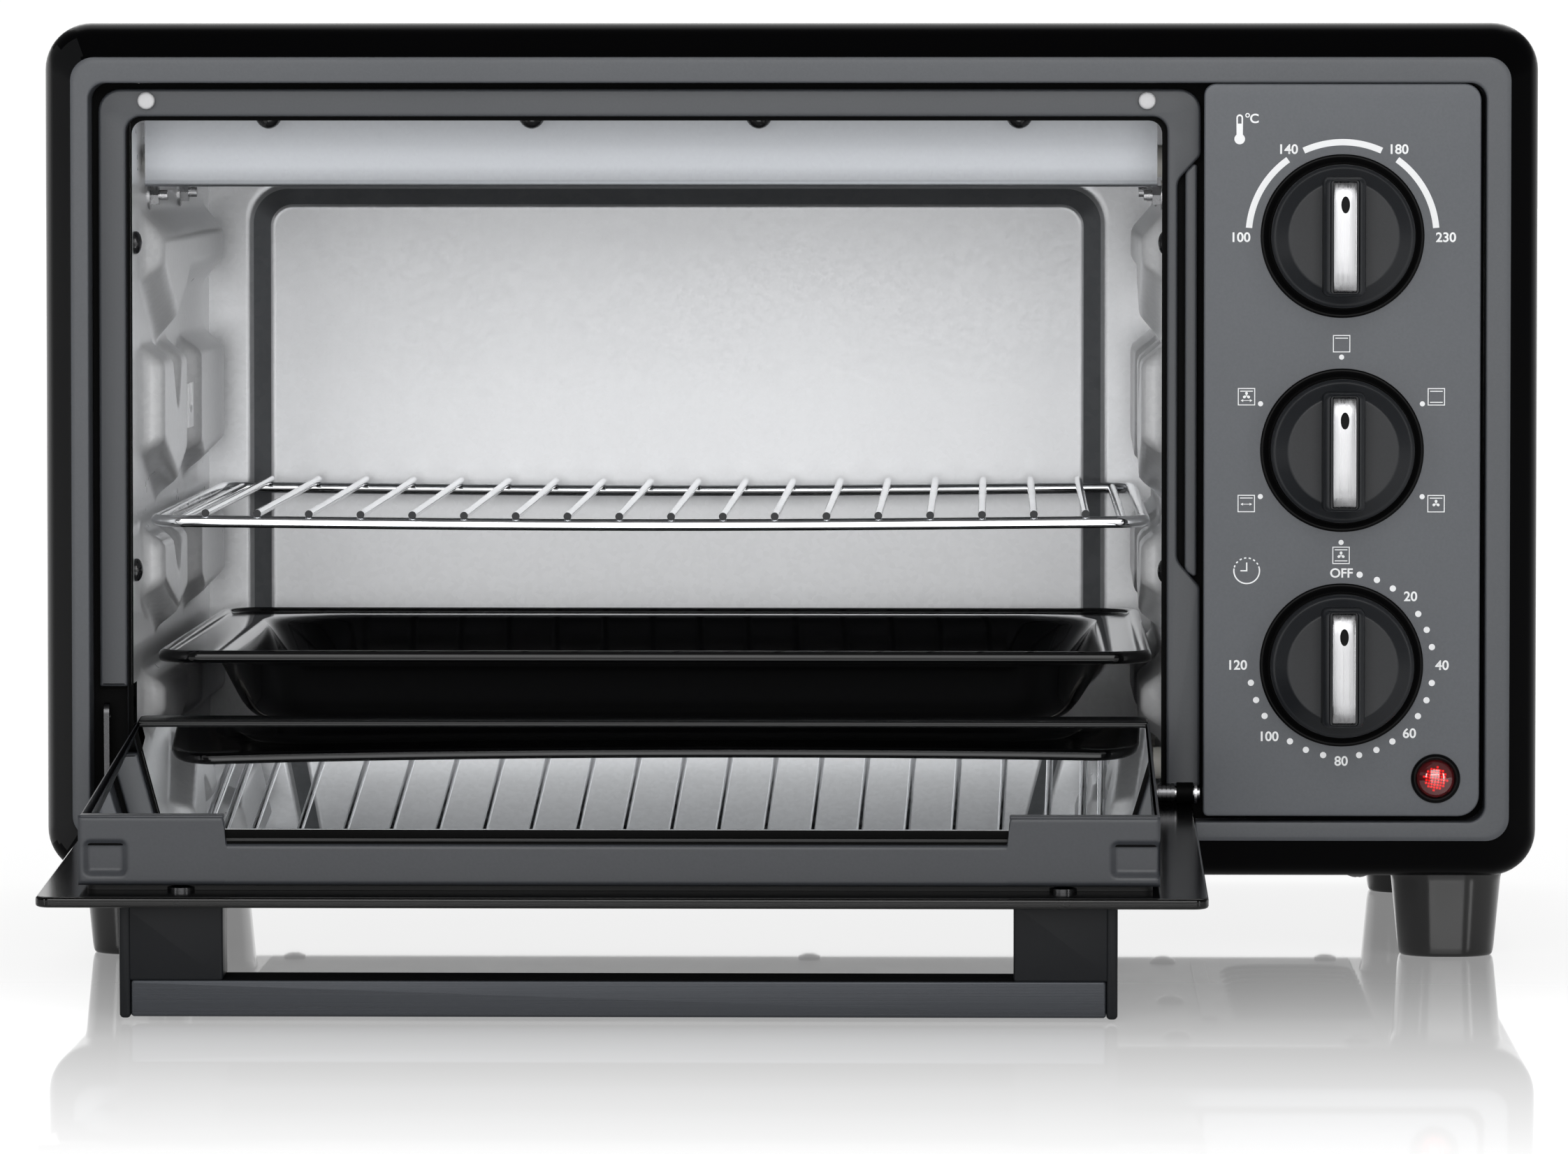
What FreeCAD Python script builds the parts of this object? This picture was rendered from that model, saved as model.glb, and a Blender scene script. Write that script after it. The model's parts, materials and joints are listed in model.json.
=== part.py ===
import FreeCAD, Part
import math
import os

# Countertop toaster oven, door open and lying forward.  Millimetres.
# X to the right seen from the front, Y from the front to the back, Z up.
# Origin: under the middle of the whole footprint (door included), on the
# plane the feet stand on.  Inside this file y is counted from the front
# face of the bezel; y_front moves everything to its place at the end.

# ------------------------------------------------------------------ sizes
y_front = -67.7           # where the bezel's front face lies in the frame

body_half_w = 225.0       # case half width
body_z0 = 26.1            # underside of the case
body_z1 = 283.4           # top of the case
case_r = 14.0             # case corner radius
sheet = 0.8               # case and cavity sheet steel
wrap_y0 = 20.3            # front edge of the wrap
wrap_y1 = 322.0           # rear edge of the wrap
lip_x = 180.2             # inner edge of the wrap's bottom lips
rear_field_y = 325.0      # rear panel, raised field
spacer_y = 337.0          # rear end of the wall spacers

bezel_t = 1.2             # bezel sheet
flat_x = 216.0            # bezel flat, half width
flat_z0, flat_z1 = 38.0, 272.6
slope_y = 7.5             # depth of the sloping flange
open_x0, open_x1 = -211.0, 209.0      # bezel opening
open_z0, open_z1 = 43.2, 265.3

ring_y = 9.0              # face of the door surround
ring_x0, ring_x1 = -208.8, 123.6
ring_z1 = 263.5
mouth_x0, mouth_x1, mouth_z1 = -200.5, 113.5, 255.2
slot_z1 = 83.0            # top of the left hinge slot

panel_x0, panel_x1 = 124.5, 206.5     # control panel
panel_z0, panel_z1 = 45.8, 265.0
panel_t = 1.5
panel_deep = 14.0
knob_x = 165.9
knob_z = {"temperature": 219.4, "mode": 155.1, "timer": 90.5}
knob_r = 21.5             # knob skirt
knob_disc_r = 16.5        # knob front disc
knob_front = -25.0        # front of the grip bar
grip_w, grip_l = 12.4, 34.0
insert_w, insert_l = 7.1, 31.7
ring_r0, ring_r1 = 21.8, 24.5
shaft_r = 3.0
shaft_gap = 0.05
lamp_x, lamp_z = 194.3, 56.3

hinge_y, hinge_z = 10.0, 51.2         # hinge line
door_open_deg = 93.0
glass_x0, glass_x1 = -208.1, 121.8    # outer glass plate
glass_n0, glass_n1 = -6.9, -3.8
glass_s0, glass_s1 = -2.5, 212.1
dframe_x0, dframe_x1 = -196.7, 108.3  # pressed door frame
dframe_s0, dframe_s1 = 2.0, 201.0
dframe_n0, dframe_n1 = -2.0, 18.0
ledge_n = 12.3
inner_n0, inner_n1 = 13.4, 15.9       # inner glass
notch_x0, notch_x1 = -155.5, 65.9
pin_r_left, pin_r_right = 2.5, 1.8
ear_r = 3.4
handle_x0, handle_x1 = -185.4, 96.4
handle_s0, handle_s1 = 183.0, 199.5
handle_n0, handle_n1 = -39.6, -29.0   # grip bar
post_w = 29.4
end_plate = 3.0

cav_x0, cav_x1 = -199.5, 113.5        # cavity, inner faces
cav_z0, cav_z1 = 47.8, 258.0
cav_y1 = 304.0
guide_h = 8.5                         # how far the rack guides stand in
rear_press = 6.0                      # rear wall pressing

rack_x0, rack_x1 = -196.0, 109.0
rack_y0, rack_y1 = 31.5, 299.5
rack_rail_r, rack_wire_r = 1.9, 1.25
rack_z = 132.1
rack_n_wires = 18
rack_wire_x0, rack_wire_pitch = -178.6, 15.76

tray_x0, tray_x1 = -194.0, 109.6
tray_y0, tray_y1 = 31.5, 291.5
tray_rim_z = 92.5
tray_floor_z = 69.5
tray_t = 0.9

heater_r = 3.5
upper_heaters = [(75.0, 241.5), (185.0, 241.5)]
lower_heaters = [(95.0, 54.5), (215.0, 54.5)]

foot_top, foot_bottom = 32.0, 28.4
foot_x = 199.3
foot_front_y, foot_rear_y = 41.0, 281.0

fan_y, fan_z, fan_r = 148.0, 100.0, 30.0
spit_y, spit_z = 148.0, 165.0

V = FreeCAD.Vector
nodes = {}


# ---------------------------------------------------------------- helpers
def box(x0, x1, y0, y1, z0, z1):
    return Part.makeBox(x1 - x0, y1 - y0, z1 - z0, V(x0, y0, z0))


def cyl(a, b, r):
    a, b = V(*a), V(*b)
    return Part.makeCylinder(r, (b - a).Length, a, b - a)


def cone(a, b, r0, r1):
    a, b = V(*a), V(*b)
    return Part.makeCone(r0, r1, (b - a).Length, a, b - a)


def rr_wire(x0, x1, z0, z1, r, y):
    # rounded rectangle in an XZ plane; r is one radius or four
    # (bottom left, bottom right, top right, top left)
    bl, br, tr, tl = r if isinstance(r, (tuple, list)) else (r, r, r, r)
    pts = []
    e = []
    k = math.sqrt(0.5)

    def p(x, z):
        return V(x, y, z)

    def line(a, b):
        if (a - b).Length > 1e-6:
            e.append(Part.LineSegment(a, b).toShape())

    def arc(a, m, b):
        if (a - b).Length > 1e-6:
            e.append(Part.Arc(a, m, b).toShape())

    line(p(x0 + bl, z0), p(x1 - br, z0))
    arc(p(x1 - br, z0), p(x1 - br + br * k, z0 + br - br * k), p(x1, z0 + br))
    line(p(x1, z0 + br), p(x1, z1 - tr))
    arc(p(x1, z1 - tr), p(x1 - tr + tr * k, z1 - tr + tr * k), p(x1 - tr, z1))
    line(p(x1 - tr, z1), p(x0 + tl, z1))
    arc(p(x0 + tl, z1), p(x0 + tl - tl * k, z1 - tl + tl * k), p(x0, z1 - tl))
    line(p(x0, z1 - tl), p(x0, z0 + bl))
    arc(p(x0, z0 + bl), p(x0 + bl - bl * k, z0 + bl - bl * k), p(x0 + bl, z0))
    return Part.Wire(e)


def rr(x0, x1, y0, y1, z0, z1, r):
    # rounded rectangle in XZ, extruded along Y
    f = Part.Face(rr_wire(x0, x1, z0, z1, r, y0))
    return f.extrude(V(0, y1 - y0, 0))


def rrz_wire(x0, x1, y0, y1, r, z):
    w = rr_wire(x0, x1, y0, y1, r, 0.0)
    w.rotate(V(0, 0, 0), V(1, 0, 0), 90)      # (x, 0, y) -> (x, -y, 0)
    w = w.mirror(V(0, 0, 0), V(0, 1, 0))
    w.translate(V(0, 0, z))
    return Part.Wire(w.Edges)


def rrz(x0, x1, y0, y1, z0, z1, r):
    # rounded rectangle in XY, extruded along Z
    return Part.Face(rrz_wire(x0, x1, y0, y1, r, z0)).extrude(V(0, 0, z1 - z0))


def loft(*wires):
    return Part.makeLoft(list(wires), True, True)


def poly_x(points, x0, x1):
    # profile of (y, z) points extruded along X
    v = [V(x0, a, b) for a, b in points]
    return Part.Face(Part.makePolygon(v + [v[0]])).extrude(V(x1 - x0, 0, 0))


def frustum_x(x_base, x_tip, y0, y1, z0, z1, dy, dz):
    # block standing out from a wall at x_base, with sloping sides
    def w(x, ey, ez):
        p = [V(x, y0 + ey, z0 + ez), V(x, y1 - ey, z0 + ez),
             V(x, y1 - ey, z1 - ez), V(x, y0 + ey, z1 - ez)]
        return Part.makePolygon(p + [p[0]])
    return loft(w(x_base, 0, 0), w(x_tip, dy, dz))


def pan_screw(at, d, r=4.0, h=2.4, shank=1.6, length=8.0):
    # cross-recessed pan-head screw; at = where the head seats,
    # d = unit direction from the head's seat towards the head
    d = V(*d)
    at = V(*at)
    head = Part.makeCylinder(r, h * 0.55, at, d)
    dome_r = (r * r + (h * 0.45) ** 2) / (2 * h * 0.45)
    ball = Part.makeSphere(dome_r, at + d * (h - dome_r))
    head = head.fuse(ball.common(
        Part.makeCylinder(r, h * 0.45, at + d * (h * 0.55), d))).removeSplitter()
    side = V(1, 0, 0) if abs(d.x) < 0.5 else V(0, 1, 0)
    up = d.cross(side)
    c = at + d * (h - 1.0)
    for a, b in ((side, up), (up, side)):
        p = [c + a * (s * 0.55 * r) + b * (t * 0.45)
             for s, t in ((-1, -1), (1, -1), (1, 1), (-1, 1))]
        head = head.cut(Part.Face(Part.makePolygon(p + [p[0]])).extrude(d * 2))
    return head.fuse(Part.makeCylinder(shank, length, at, d * -1)).removeSplitter()


def group(shapes):
    return Part.makeCompound(shapes)


def cut_all(shape, tools):
    return shape.cut(Part.makeCompound(tools)) if len(tools) > 1 else shape.cut(tools[0])


def add(name, shape):
    nodes[name] = shape


# ------------------------------------------------------------------- case
# wrap: one folded sheet, top, two sides and two bottom lips
wrap = rr(-body_half_w, body_half_w, wrap_y0, wrap_y1, body_z0, body_z1, case_r)
wrap = wrap.cut(rr(-body_half_w + sheet, body_half_w - sheet, wrap_y0 - 1,
                   wrap_y1 + 1, body_z0 + sheet, body_z1 - sheet, case_r - sheet))
cuts = [box(-lip_x, lip_x, wrap_y0 - 1, wrap_y1 + 1, body_z0 - 1, body_z0 + 5)]
vent_z = [70.0 + 9.0 * i for i in range(18)]
for z in vent_z:
    for y0 in (60.0, 118.0):
        cuts.append(box(body_half_w - 3, body_half_w + 3, y0, y0 + 42.0, z, z + 2.6))
case_screw_z = (60.0, 155.0, 250.0)
for sx in (-1, 1):
    for z in case_screw_z:
        cuts.append(cyl((sx * 230, 305, z), (sx * 215, 305, z), 1.7))
for sx in (-1, 1):
    for y in (foot_front_y, foot_rear_y):
        cuts.append(cyl((sx * foot_x, y, 20), (sx * foot_x, y, 30), 2.1))
add("outer_wrap", cut_all(wrap, cuts))

case_screws = []
for sx in (-1, 1):
    for z in case_screw_z:
        case_screws.append(pan_screw((sx * body_half_w, 305.0, z), (sx, 0, 0),
                                     3.6, 2.0, 1.6, 7.0))
# front bezel: flat face, sloping flange, side band, turned-in opening
outer = loft(rr_wire(-flat_x, flat_x, flat_z0, flat_z1, 6.0, 0.0),
             rr_wire(-body_half_w, body_half_w, body_z0, body_z1, case_r, slope_y))
outer = outer.fuse(rr(-body_half_w, body_half_w, slope_y, 20.0, body_z0, body_z1, case_r))
t = bezel_t
inner = loft(rr_wire(-flat_x + 0.6, flat_x - 0.6, flat_z0 + 0.6, flat_z1 - 0.6, 5.4, t),
             rr_wire(-body_half_w + t, body_half_w - t, body_z0 + t, body_z1 - t,
                     case_r - t, slope_y + 0.5))
inner = inner.fuse(rr(-body_half_w + t, body_half_w - t, slope_y + 0.5, 21.0,
                      body_z0 + t, body_z1 - t, case_r - t))
bezel = outer.cut(inner)
bezel = bezel.fuse(rr(open_x0 - t, open_x1 + t, 0.0, 12.0, open_z0 - t, open_z1 + t, 6.0))
bezel = bezel.cut(rr(open_x0, open_x1, -1.0, 13.0, open_z0, open_z1, 4.8))
bezel = bezel.cut(box(open_x0 - 5, open_x1 + 5, 5.0, 13.0, 30.0, 60.0))
bezel = bezel.cut(box(open_x0 - 2.5, open_x1 + 2.5, t, 5.0, flat_z0 - 0.5, open_z0 - t))
add("front_frame", bezel.removeSplitter())

# bottom panel with ventilation slots under the cavity and under the controls
bottom = box(-lip_x + 0.2, lip_x - 0.2, wrap_y0, wrap_y1, body_z0, body_z0 + 1.0)
cuts = []
for i in range(9):
    y = 70.0 + 22.0 * i
    cuts.append(rrz(-120.0, -60.0, y, y + 4.0, 20, 30, 1.9))
    cuts.append(rrz(-20.0, 40.0, y, y + 4.0, 20, 30, 1.9))
for i in range(7):
    y = 70.0 + 14.0 * i
    cuts.append(rrz(122.0, 170.0, y, y + 4.0, 20, 30, 1.9))
bottom_screw_at = [(x, y) for x in (-172.0, 0.0, 172.0) for y in (30.0, 312.0)]
for x, y in bottom_screw_at:
    cuts.append(cyl((x, y, 20), (x, y, 30), 1.7))
add("bottom_panel", cut_all(bottom, cuts))
bottom_screws = [pan_screw((x, y, body_z0), (0, 0, -1), 3.6, 2.0, 1.6, 7.0)
                 for x, y in bottom_screw_at]

# rear panel, pressed outwards, with slots, a cord hole and screw holes
rear = rr(-224.0, 224.0, wrap_y1, wrap_y1 + 1.0, 27.1, 282.4, 13.0)
rear = rear.cut(rr(-191.0, 191.0, wrap_y1 - 1, wrap_y1 + 2, 59.0, 251.0, 9.0))
field = loft(rr_wire(-193.0, 193.0, 57.0, 253.0, 10.0, wrap_y1),
             rr_wire(-188.0, 188.0, 62.0, 248.0, 8.0, rear_field_y))
field = field.cut(loft(rr_wire(-191.9, 191.9, 58.1, 251.9, 9.5, wrap_y1),
                       rr_wire(-187.2, 187.2, 62.8, 247.2, 7.5, rear_field_y - 1.0)))
rear = rear.fuse(field).removeSplitter()
cuts = []
for i in range(10):
    for x0 in (-150.0, -70.0, 10.0, 90.0):
        z = 150.0 + 8.0 * i
        cuts.append(rr(x0, x0 + 60.0, 318, 330, z, z + 3.0, 1.45))
rear_screw_at = [(x, z) for x in (-208.0, 0.0, 208.0) for z in (42.0, 268.0)]
for x, z in rear_screw_at:
    cuts.append(cyl((x, 318, z), (x, 330, z), 1.7))
cord_x, cord_z = 150.0, 90.0
cuts.append(cyl((cord_x, 318, cord_z), (cord_x, 330, cord_z), 8.0))
spacer_at = [(-160.0, 100.0), (100.0, 100.0)]
for x, z in spacer_at:
    cuts.append(cyl((x, 318, z), (x, 330, z), 2.1))
add("rear_panel", cut_all(rear, cuts))
rear_screws = [pan_screw((x, wrap_y1 + 1.0, z), (0, 1, 0), 3.6, 2.0, 1.6, 7.0)
               for x, z in rear_screw_at]

spacers = []
for x, z in spacer_at:
    s = cone((x, rear_field_y, z), (x, spacer_y, z), 10.0, 8.0)
    s = s.fuse(cyl((x, 320.0, z), (x, rear_field_y, z), 2.0))
    spacers.append(s)
add("rear_spacers", group(spacers))

# cord gland: grommet in the rear panel with its bore open
gland = cyl((cord_x, rear_field_y, cord_z), (cord_x, rear_field_y + 3.0, cord_z), 10.5)
gland = gland.fuse(cyl((cord_x, 316.0, cord_z), (cord_x, rear_field_y + 1, cord_z), 7.9))
gland = gland.cut(cyl((cord_x, 310.0, cord_z), (cord_x, 340.0, cord_z), 3.6))
add("cord_gland", gland)

term = box(128.0, 172.0, 262.0, 280.0, body_z0 + 1.0, body_z0 + 19.0)
for i in range(3):
    term = term.cut(cyl((137.0 + 13.0 * i, 271.0, 38.0), (137.0 + 13.0 * i, 271.0, 60.0), 3.6))
add("terminal_block", term)

# feet: square, tapering to the floor, hollow underneath for the screw
def foot(cx, fy):
    a, b = foot_top / 2, foot_bottom / 2
    f = loft(rrz_wire(cx - b, cx + b, fy - b, fy + b, 5.0, 0.0),
             rrz_wire(cx - a, cx + a, fy - a, fy + a, 6.0, body_z0))
    f = f.cut(cyl((cx, fy, -1.0), (cx, fy, 18.0), 6.5))
    return f.cut(cyl((cx, fy, 17.0), (cx, fy, 40.0), 2.1))


add("feet_front", group([foot(-foot_x, foot_front_y), foot(foot_x, foot_front_y)]))
add("feet_rear", group([foot(-foot_x, foot_rear_y), foot(foot_x, foot_rear_y)]))
foot_screws = [pan_screw((sx * foot_x, fy, 18.0), (0, 0, -1), 4.5, 2.6, 2.0, 12.0)
               for sx in (-1, 1) for fy in (foot_front_y, foot_rear_y)]
add("case_screws", group(case_screws + bottom_screws + rear_screws + foot_screws))

# ---------------------------------------------------------- door surround
surround = rr(ring_x0, ring_x1, ring_y, ring_y + 1.0, 48.0, ring_z1, (0.5, 0.5, 3.0, 4.0))
surround = surround.cut(rr(mouth_x0, mouth_x1, ring_y - 1, ring_y + 2, 30.0, mouth_z1,
                           (0.5, 0.5, 4.0, 4.0)))
surround = surround.cut(box(-215.0, mouth_x0 + 1, ring_y - 1, ring_y + 2, 30.0, slot_z1))
surround = surround.cut(box(mouth_x1 - 1, 130.0, ring_y - 1, ring_y + 2, 30.0, 56.5))
# turned-back outer edge, and the pressed strip beside the opening
rim = rr(ring_x0, ring_x1, ring_y, ring_y + 10.0, 84.0, ring_z1, (0.5, 0.5, 3.0, 4.0))
rim = rim.cut(rr(ring_x0 + 1, ring_x1 - 1, ring_y - 1, ring_y + 12, 60.0, ring_z1 - 1.0,
                 (0.5, 0.5, 2.0, 3.0)))
surround = surround.fuse(rim)
strip = rr(117.3, 122.4, ring_y - 0.8, ring_y + 0.1, 118.7, 241.0, 2.4)
add("door_surround", surround.fuse(strip).removeSplitter())
add("door_bumpers", group([cyl((x, ring_y, 260.0), (x, ring_y - 2.4, 260.0), 2.6)
                           for x in (-194.2, 107.4)]))

# ----------------------------------------------------------------- cavity
s = sheet


def wall(x_in, side):
    # side -1: left wall, inner face looks to +X; side +1: right wall
    xo = x_in + side * s
    lo_z = slot_z1 if side < 0 else 56.5
    pts = [(ring_y + 1, lo_z), (13.5, lo_z), (13.5, cav_z0), (cav_y1, cav_z0),
           (cav_y1, cav_z1), (ring_y + 1, cav_z1)]
    w = poly_x(pts, min(x_in, xo), max(x_in, xo))
    tip = x_in - side * guide_h
    blocks = [(40, 280, 190, 225, 9, 9)]
    for y0, y1 in ((44, 110), (186, 280)):
        blocks += [(y0, y1, 140, 183, 8, 5), (y0, y1, 97, 130, 8, 5),
                   (y0, y1, 62, 88, 8, 5)]
    for y0, y1, z0, z1, dy, dz in blocks:
        w = w.fuse(frustum_x(x_in, tip, y0, y1, z0, z1, dy, dz))
    for y0, y1, z0, z1, dy, dz in blocks:
        w = w.cut(frustum_x(xo + side * 0.01, tip + side * s, y0 + s, y1 - s,
                            z0 + s, z1 - s, dy, dz))
    return w.removeSplitter()


bush_holes = upper_heaters + lower_heaters
stud_at = [(75.0, 231.0), (185.0, 231.0)]
left = wall(cav_x0, -1)
cuts = [cyl((-205, y, z), (-190, y, z), 5.0) for y, z in bush_holes]
cuts += [cyl((-205, spit_y, spit_z - 12), (-190, spit_y, spit_z - 12), 1.6)]
side_screw_z = (117.6, 217.0)
cuts += [cyl((-205, 20, z), (-190, 20, z), 1.6) for z in side_screw_z]
add("cavity_left_wall", cut_all(left, cuts))
right = wall(cav_x1, 1)
cuts = [cyl((110, y, z), (120, y, z), 5.0) for y, z in bush_holes]
cuts += [cyl((110, 20, z), (120, 20, z), 1.6) for z in side_screw_z]
cuts += [cyl((110, spit_y, spit_z), (120, spit_y, spit_z), 5.4)]
for i in range(-3, 4):
    for j in range(-3, 4):
        hy, hz = fan_y + 8.0 * (i + 0.5 * (j % 2)), fan_z + 7.0 * j
        if math.hypot(hy - fan_y, hz - fan_z) < 25.5:
            cuts.append(cyl((110, hy, hz), (120, hy, hz), 2.4))
add("cavity_right_wall", cut_all(right, cuts))
wall_screws = (
    [pan_screw((cav_x0, 20, z), (1, 0, 0), 4.2, 2.3, 1.5, 6) for z in side_screw_z] +
    [pan_screw((cav_x1, 20, z), (-1, 0, 0), 4.2, 2.3, 1.5, 6) for z in side_screw_z])

ceiling = box(cav_x0 - s, cav_x1 + s, ring_y + 1, cav_y1, cav_z1, cav_z1 + s)
defl_screw_x = (-159.0, -79.0, -10.0, 69.0)
add("cavity_ceiling", cut_all(ceiling, [cyl((x, 35, 250), (x, 35, 265), 1.6)
                                        for x in defl_screw_x]))
floor = poly_x([(13.5, 43.4), (14.3, 43.4), (14.3, cav_z0 - s), (cav_y1, cav_z0 - s),
                (cav_y1, cav_z0), (13.5, cav_z0)], cav_x0 - s, cav_x1 + s)
add("cavity_floor", floor)

back = rr(cav_x0 - s, cav_x1 + s, cav_y1, cav_y1 + s, cav_z0 - s, cav_z1 + s, 0.5)
p0 = (-185.6, 97.8, 66.0, 232.0)
p1 = (-178.9, 90.9, 72.7, 225.5)
back = back.cut(rr(p0[0] + 0.9, p0[1] - 0.9, cav_y1 - 1, cav_y1 + 2, p0[2] + 0.9, p0[3] - 0.9, 11))
press = loft(rr_wire(p0[0] - 1, p0[1] + 1, p0[2] - 1, p0[3] + 1, 13, cav_y1 + s),
             rr_wire(p1[0] - 1, p1[1] + 1, p1[2] - 1, p1[3] + 1, 8, cav_y1 + rear_press + s))
press = press.fuse(rr(p0[0] - 1, p0[1] + 1, cav_y1, cav_y1 + s, p0[2] - 1, p0[3] + 1, 13))
hollow = loft(rr_wire(p0[0], p0[1], p0[2], p0[3], 12, cav_y1 - 0.01),
              rr_wire(p1[0], p1[1], p1[2], p1[3], 7, cav_y1 + rear_press))
add("cavity_rear_wall", back.fuse(press).cut(hollow).removeSplitter())

defl = poly_x([(46.0, 233.8), (46.8, 233.8), (46.8, 254.3), (40.3, cav_z1), (29.5, cav_z1),
               (29.5, cav_z1 - s), (40.0, cav_z1 - s), (46.0, 253.9)], -198.0, 111.2)
add("upper_heat_deflector", cut_all(defl, [cyl((x, 35, 250), (x, 35, 262), 1.6)
                                           for x in defl_screw_x]))
add("cavity_screws", group(wall_screws + [
    pan_screw((x, 35.0, cav_z1 - s), (0, 0, -1), 4.6, 3.4, 1.5, 7) for x in defl_screw_x]))

# heating elements: straight tubes across the cavity in ceramic bushes
rod_x0, rod_x1 = -212.0, 124.0


def heater(y, z):
    rod = cyl((rod_x0, y, z), (rod_x1, y, z), heater_r)
    rod = rod.fuse(cyl((rod_x0 - 8, y, z), (rod_x0, y, z), 1.5))
    return rod.fuse(cyl((rod_x1, y, z), (rod_x1 + 8, y, z), 1.5))


add("upper_heaters", group([heater(y, z) for y, z in upper_heaters]))
add("lower_heaters", group([heater(y, z) for y, z in lower_heaters]))
bushes = []
for y, z in bush_holes:
    for x, d in ((cav_x0, 1), (cav_x1, -1)):
        b = cyl((x - d * 7, y, z), (x + d * 2.5, y, z), 4.95)
        b = b.cut(cyl((x - d * 9, y, z), (x + d * 9, y, z), heater_r))
        bushes.append(b)
add("heater_insulators", group(bushes))
fix = []
for x, d in ((cav_x0, 1), (cav_x1, -1)):
    for y, z in stud_at:
        f = cyl((x, y, z), (x + d * 0.8, y, z), 4.6)
        hexa = Part.Face(Part.makePolygon(
            [V(x + d * 0.8, y + 3.4 * math.cos(math.radians(60 * k)),
               z + 3.4 * math.sin(math.radians(60 * k))) for k in range(7)]))
        f = f.fuse(hexa.extrude(V(d * 2.6, 0, 0)))
        f = f.fuse(cyl((x, y, z), (x + d * 6.0, y, z), 1.6))
        fix.append(f)
add("heater_fixings", group(fix))

# spit holder on the left wall
holder = box(cav_x0, cav_x0 + 1.0, spit_y - 9, spit_y + 9, spit_z - 17, spit_z + 9)
holder = holder.fuse(box(cav_x0, cav_x0 + 7.0, spit_y - 9, spit_y + 9, spit_z - 8, spit_z - 5))
holder = holder.fuse(box(cav_x0 + 6.0, cav_x0 + 7.0, spit_y - 9, spit_y + 9, spit_z - 8, spit_z + 6))
holder = holder.cut(cyl((cav_x0 + 3, spit_y, spit_z), (cav_x0 + 9, spit_y, spit_z), 3.5))
holder = holder.cut(box(cav_x0 + 3, cav_x0 + 9, spit_y - 3.5, spit_y + 3.5, spit_z, spit_z + 9))
add("spit_holder", holder)

# ---------------------------------------------------------- control panel
panel = rr(panel_x0, panel_x1, 0.0, panel_deep, panel_z0, panel_z1, (1.0, 5.0, 5.0, 1.0))
panel = panel.cut(rr(panel_x0 + panel_t, panel_x1 - panel_t, panel_t, panel_deep + 1,
                     panel_z0 + panel_t, panel_z1 - panel_t, (0.6, 3.5, 3.5, 0.6)))
cuts = [cyl((knob_x, -5, z), (knob_x, 5, z), 5.0) for z in knob_z.values()]
cuts.append(cyl((lamp_x, -5, lamp_z), (lamp_x, 5, lamp_z), 5.0))
panel = cut_all(panel, cuts)
for z in knob_z.values():
    panel = panel.fuse(cyl((knob_x, 0.3, z), (knob_x, -1.2, z), ring_r1).cut(
        cyl((knob_x, 1, z), (knob_x, -3, z), ring_r0)))
add("control_panel", panel.removeSplitter())
lamp = cyl((lamp_x, 0, lamp_z), (lamp_x, -1.4, lamp_z), 7.4)
add("lamp_bezel", lamp.cut(cyl((lamp_x, 2, lamp_z), (lamp_x, -3, lamp_z), 5.9)).removeSplitter())
lens = cyl((lamp_x, 0, lamp_z), (lamp_x, -1.2, lamp_z), 5.8)
dome_r = (5.8 ** 2 + 1.6 ** 2) / (2 * 1.6)
lens = lens.fuse(Part.makeSphere(dome_r, V(lamp_x, -2.8 + dome_r, lamp_z)).common(
    cyl((lamp_x, -1.2, lamp_z), (lamp_x, -4.0, lamp_z), 5.8)))
lens = lens.fuse(cyl((lamp_x, 0, lamp_z), (lamp_x, 12.0, lamp_z), 4.9))
lens = lens.cut(cyl((lamp_x, 1.0, lamp_z), (lamp_x, 13.0, lamp_z), 3.6))
add("lamp_lens", lens.removeSplitter())
bulb = cyl((lamp_x, 5.0, lamp_z), (lamp_x, 14.0, lamp_z), 2.6)
bulb = bulb.fuse(Part.makeSphere(2.6, V(lamp_x, 5.0, lamp_z)))
add("lamp_bulb", bulb.fuse(cyl((lamp_x, 14.0, lamp_z), (lamp_x, 20.0, lamp_z), 3.2)).removeSplitter())

for kname in ("temperature", "mode", "timer"):
    z = knob_z[kname]

    def at(y, dx=0.0, dz=0.0):
        return (knob_x + dx, y, z + dz)
    k = cyl(at(-0.4), at(-9.0), knob_r)
    k = k.fuse(cone(at(-9.0), at(-12.5), knob_r, knob_disc_r))
    grip = rr(knob_x - grip_w / 2, knob_x + grip_w / 2, knob_front, -9.5,
              z - grip_l / 2, z + grip_l / 2, 3.0)
    k = k.fuse(grip)
    k = k.cut(rr(knob_x - insert_w / 2, knob_x + insert_w / 2, knob_front - 1, knob_front + 0.8,
                 z - insert_l / 2, z + insert_l / 2, 1.2))
    k = k.cut(cyl(at(0.0), at(-16.0), shaft_r))
    k = k.cut(cyl(at(0.0), at(-6.0), 17.5).cut(cyl(at(0.0), at(-6.0), 8.0)))
    add(kname + "_knob", k.removeSplitter())
    ins = rr(knob_x - insert_w / 2 + 0.05, knob_x + insert_w / 2 - 0.05, knob_front + 0.1,
             knob_front + 0.8, z - insert_l / 2 + 0.05, z + insert_l / 2 - 0.05, 1.1)
    add(kname + "_knob_insert", ins.cut(rr(knob_x - 1.1, knob_x + 1.1, knob_front - 1,
                                           knob_front + 2, z + 8.2, z + 12.5, 1.05)))
    shaft = cyl(at(20.0), at(-16.0), shaft_r)
    shaft = shaft.cut(box(knob_x - 4, knob_x + 4, -17.0, -4.0, z - 4.0, z - 1.6))
    add(kname + "_shaft", shaft)

bore = shaft_r + shaft_gap


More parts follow.
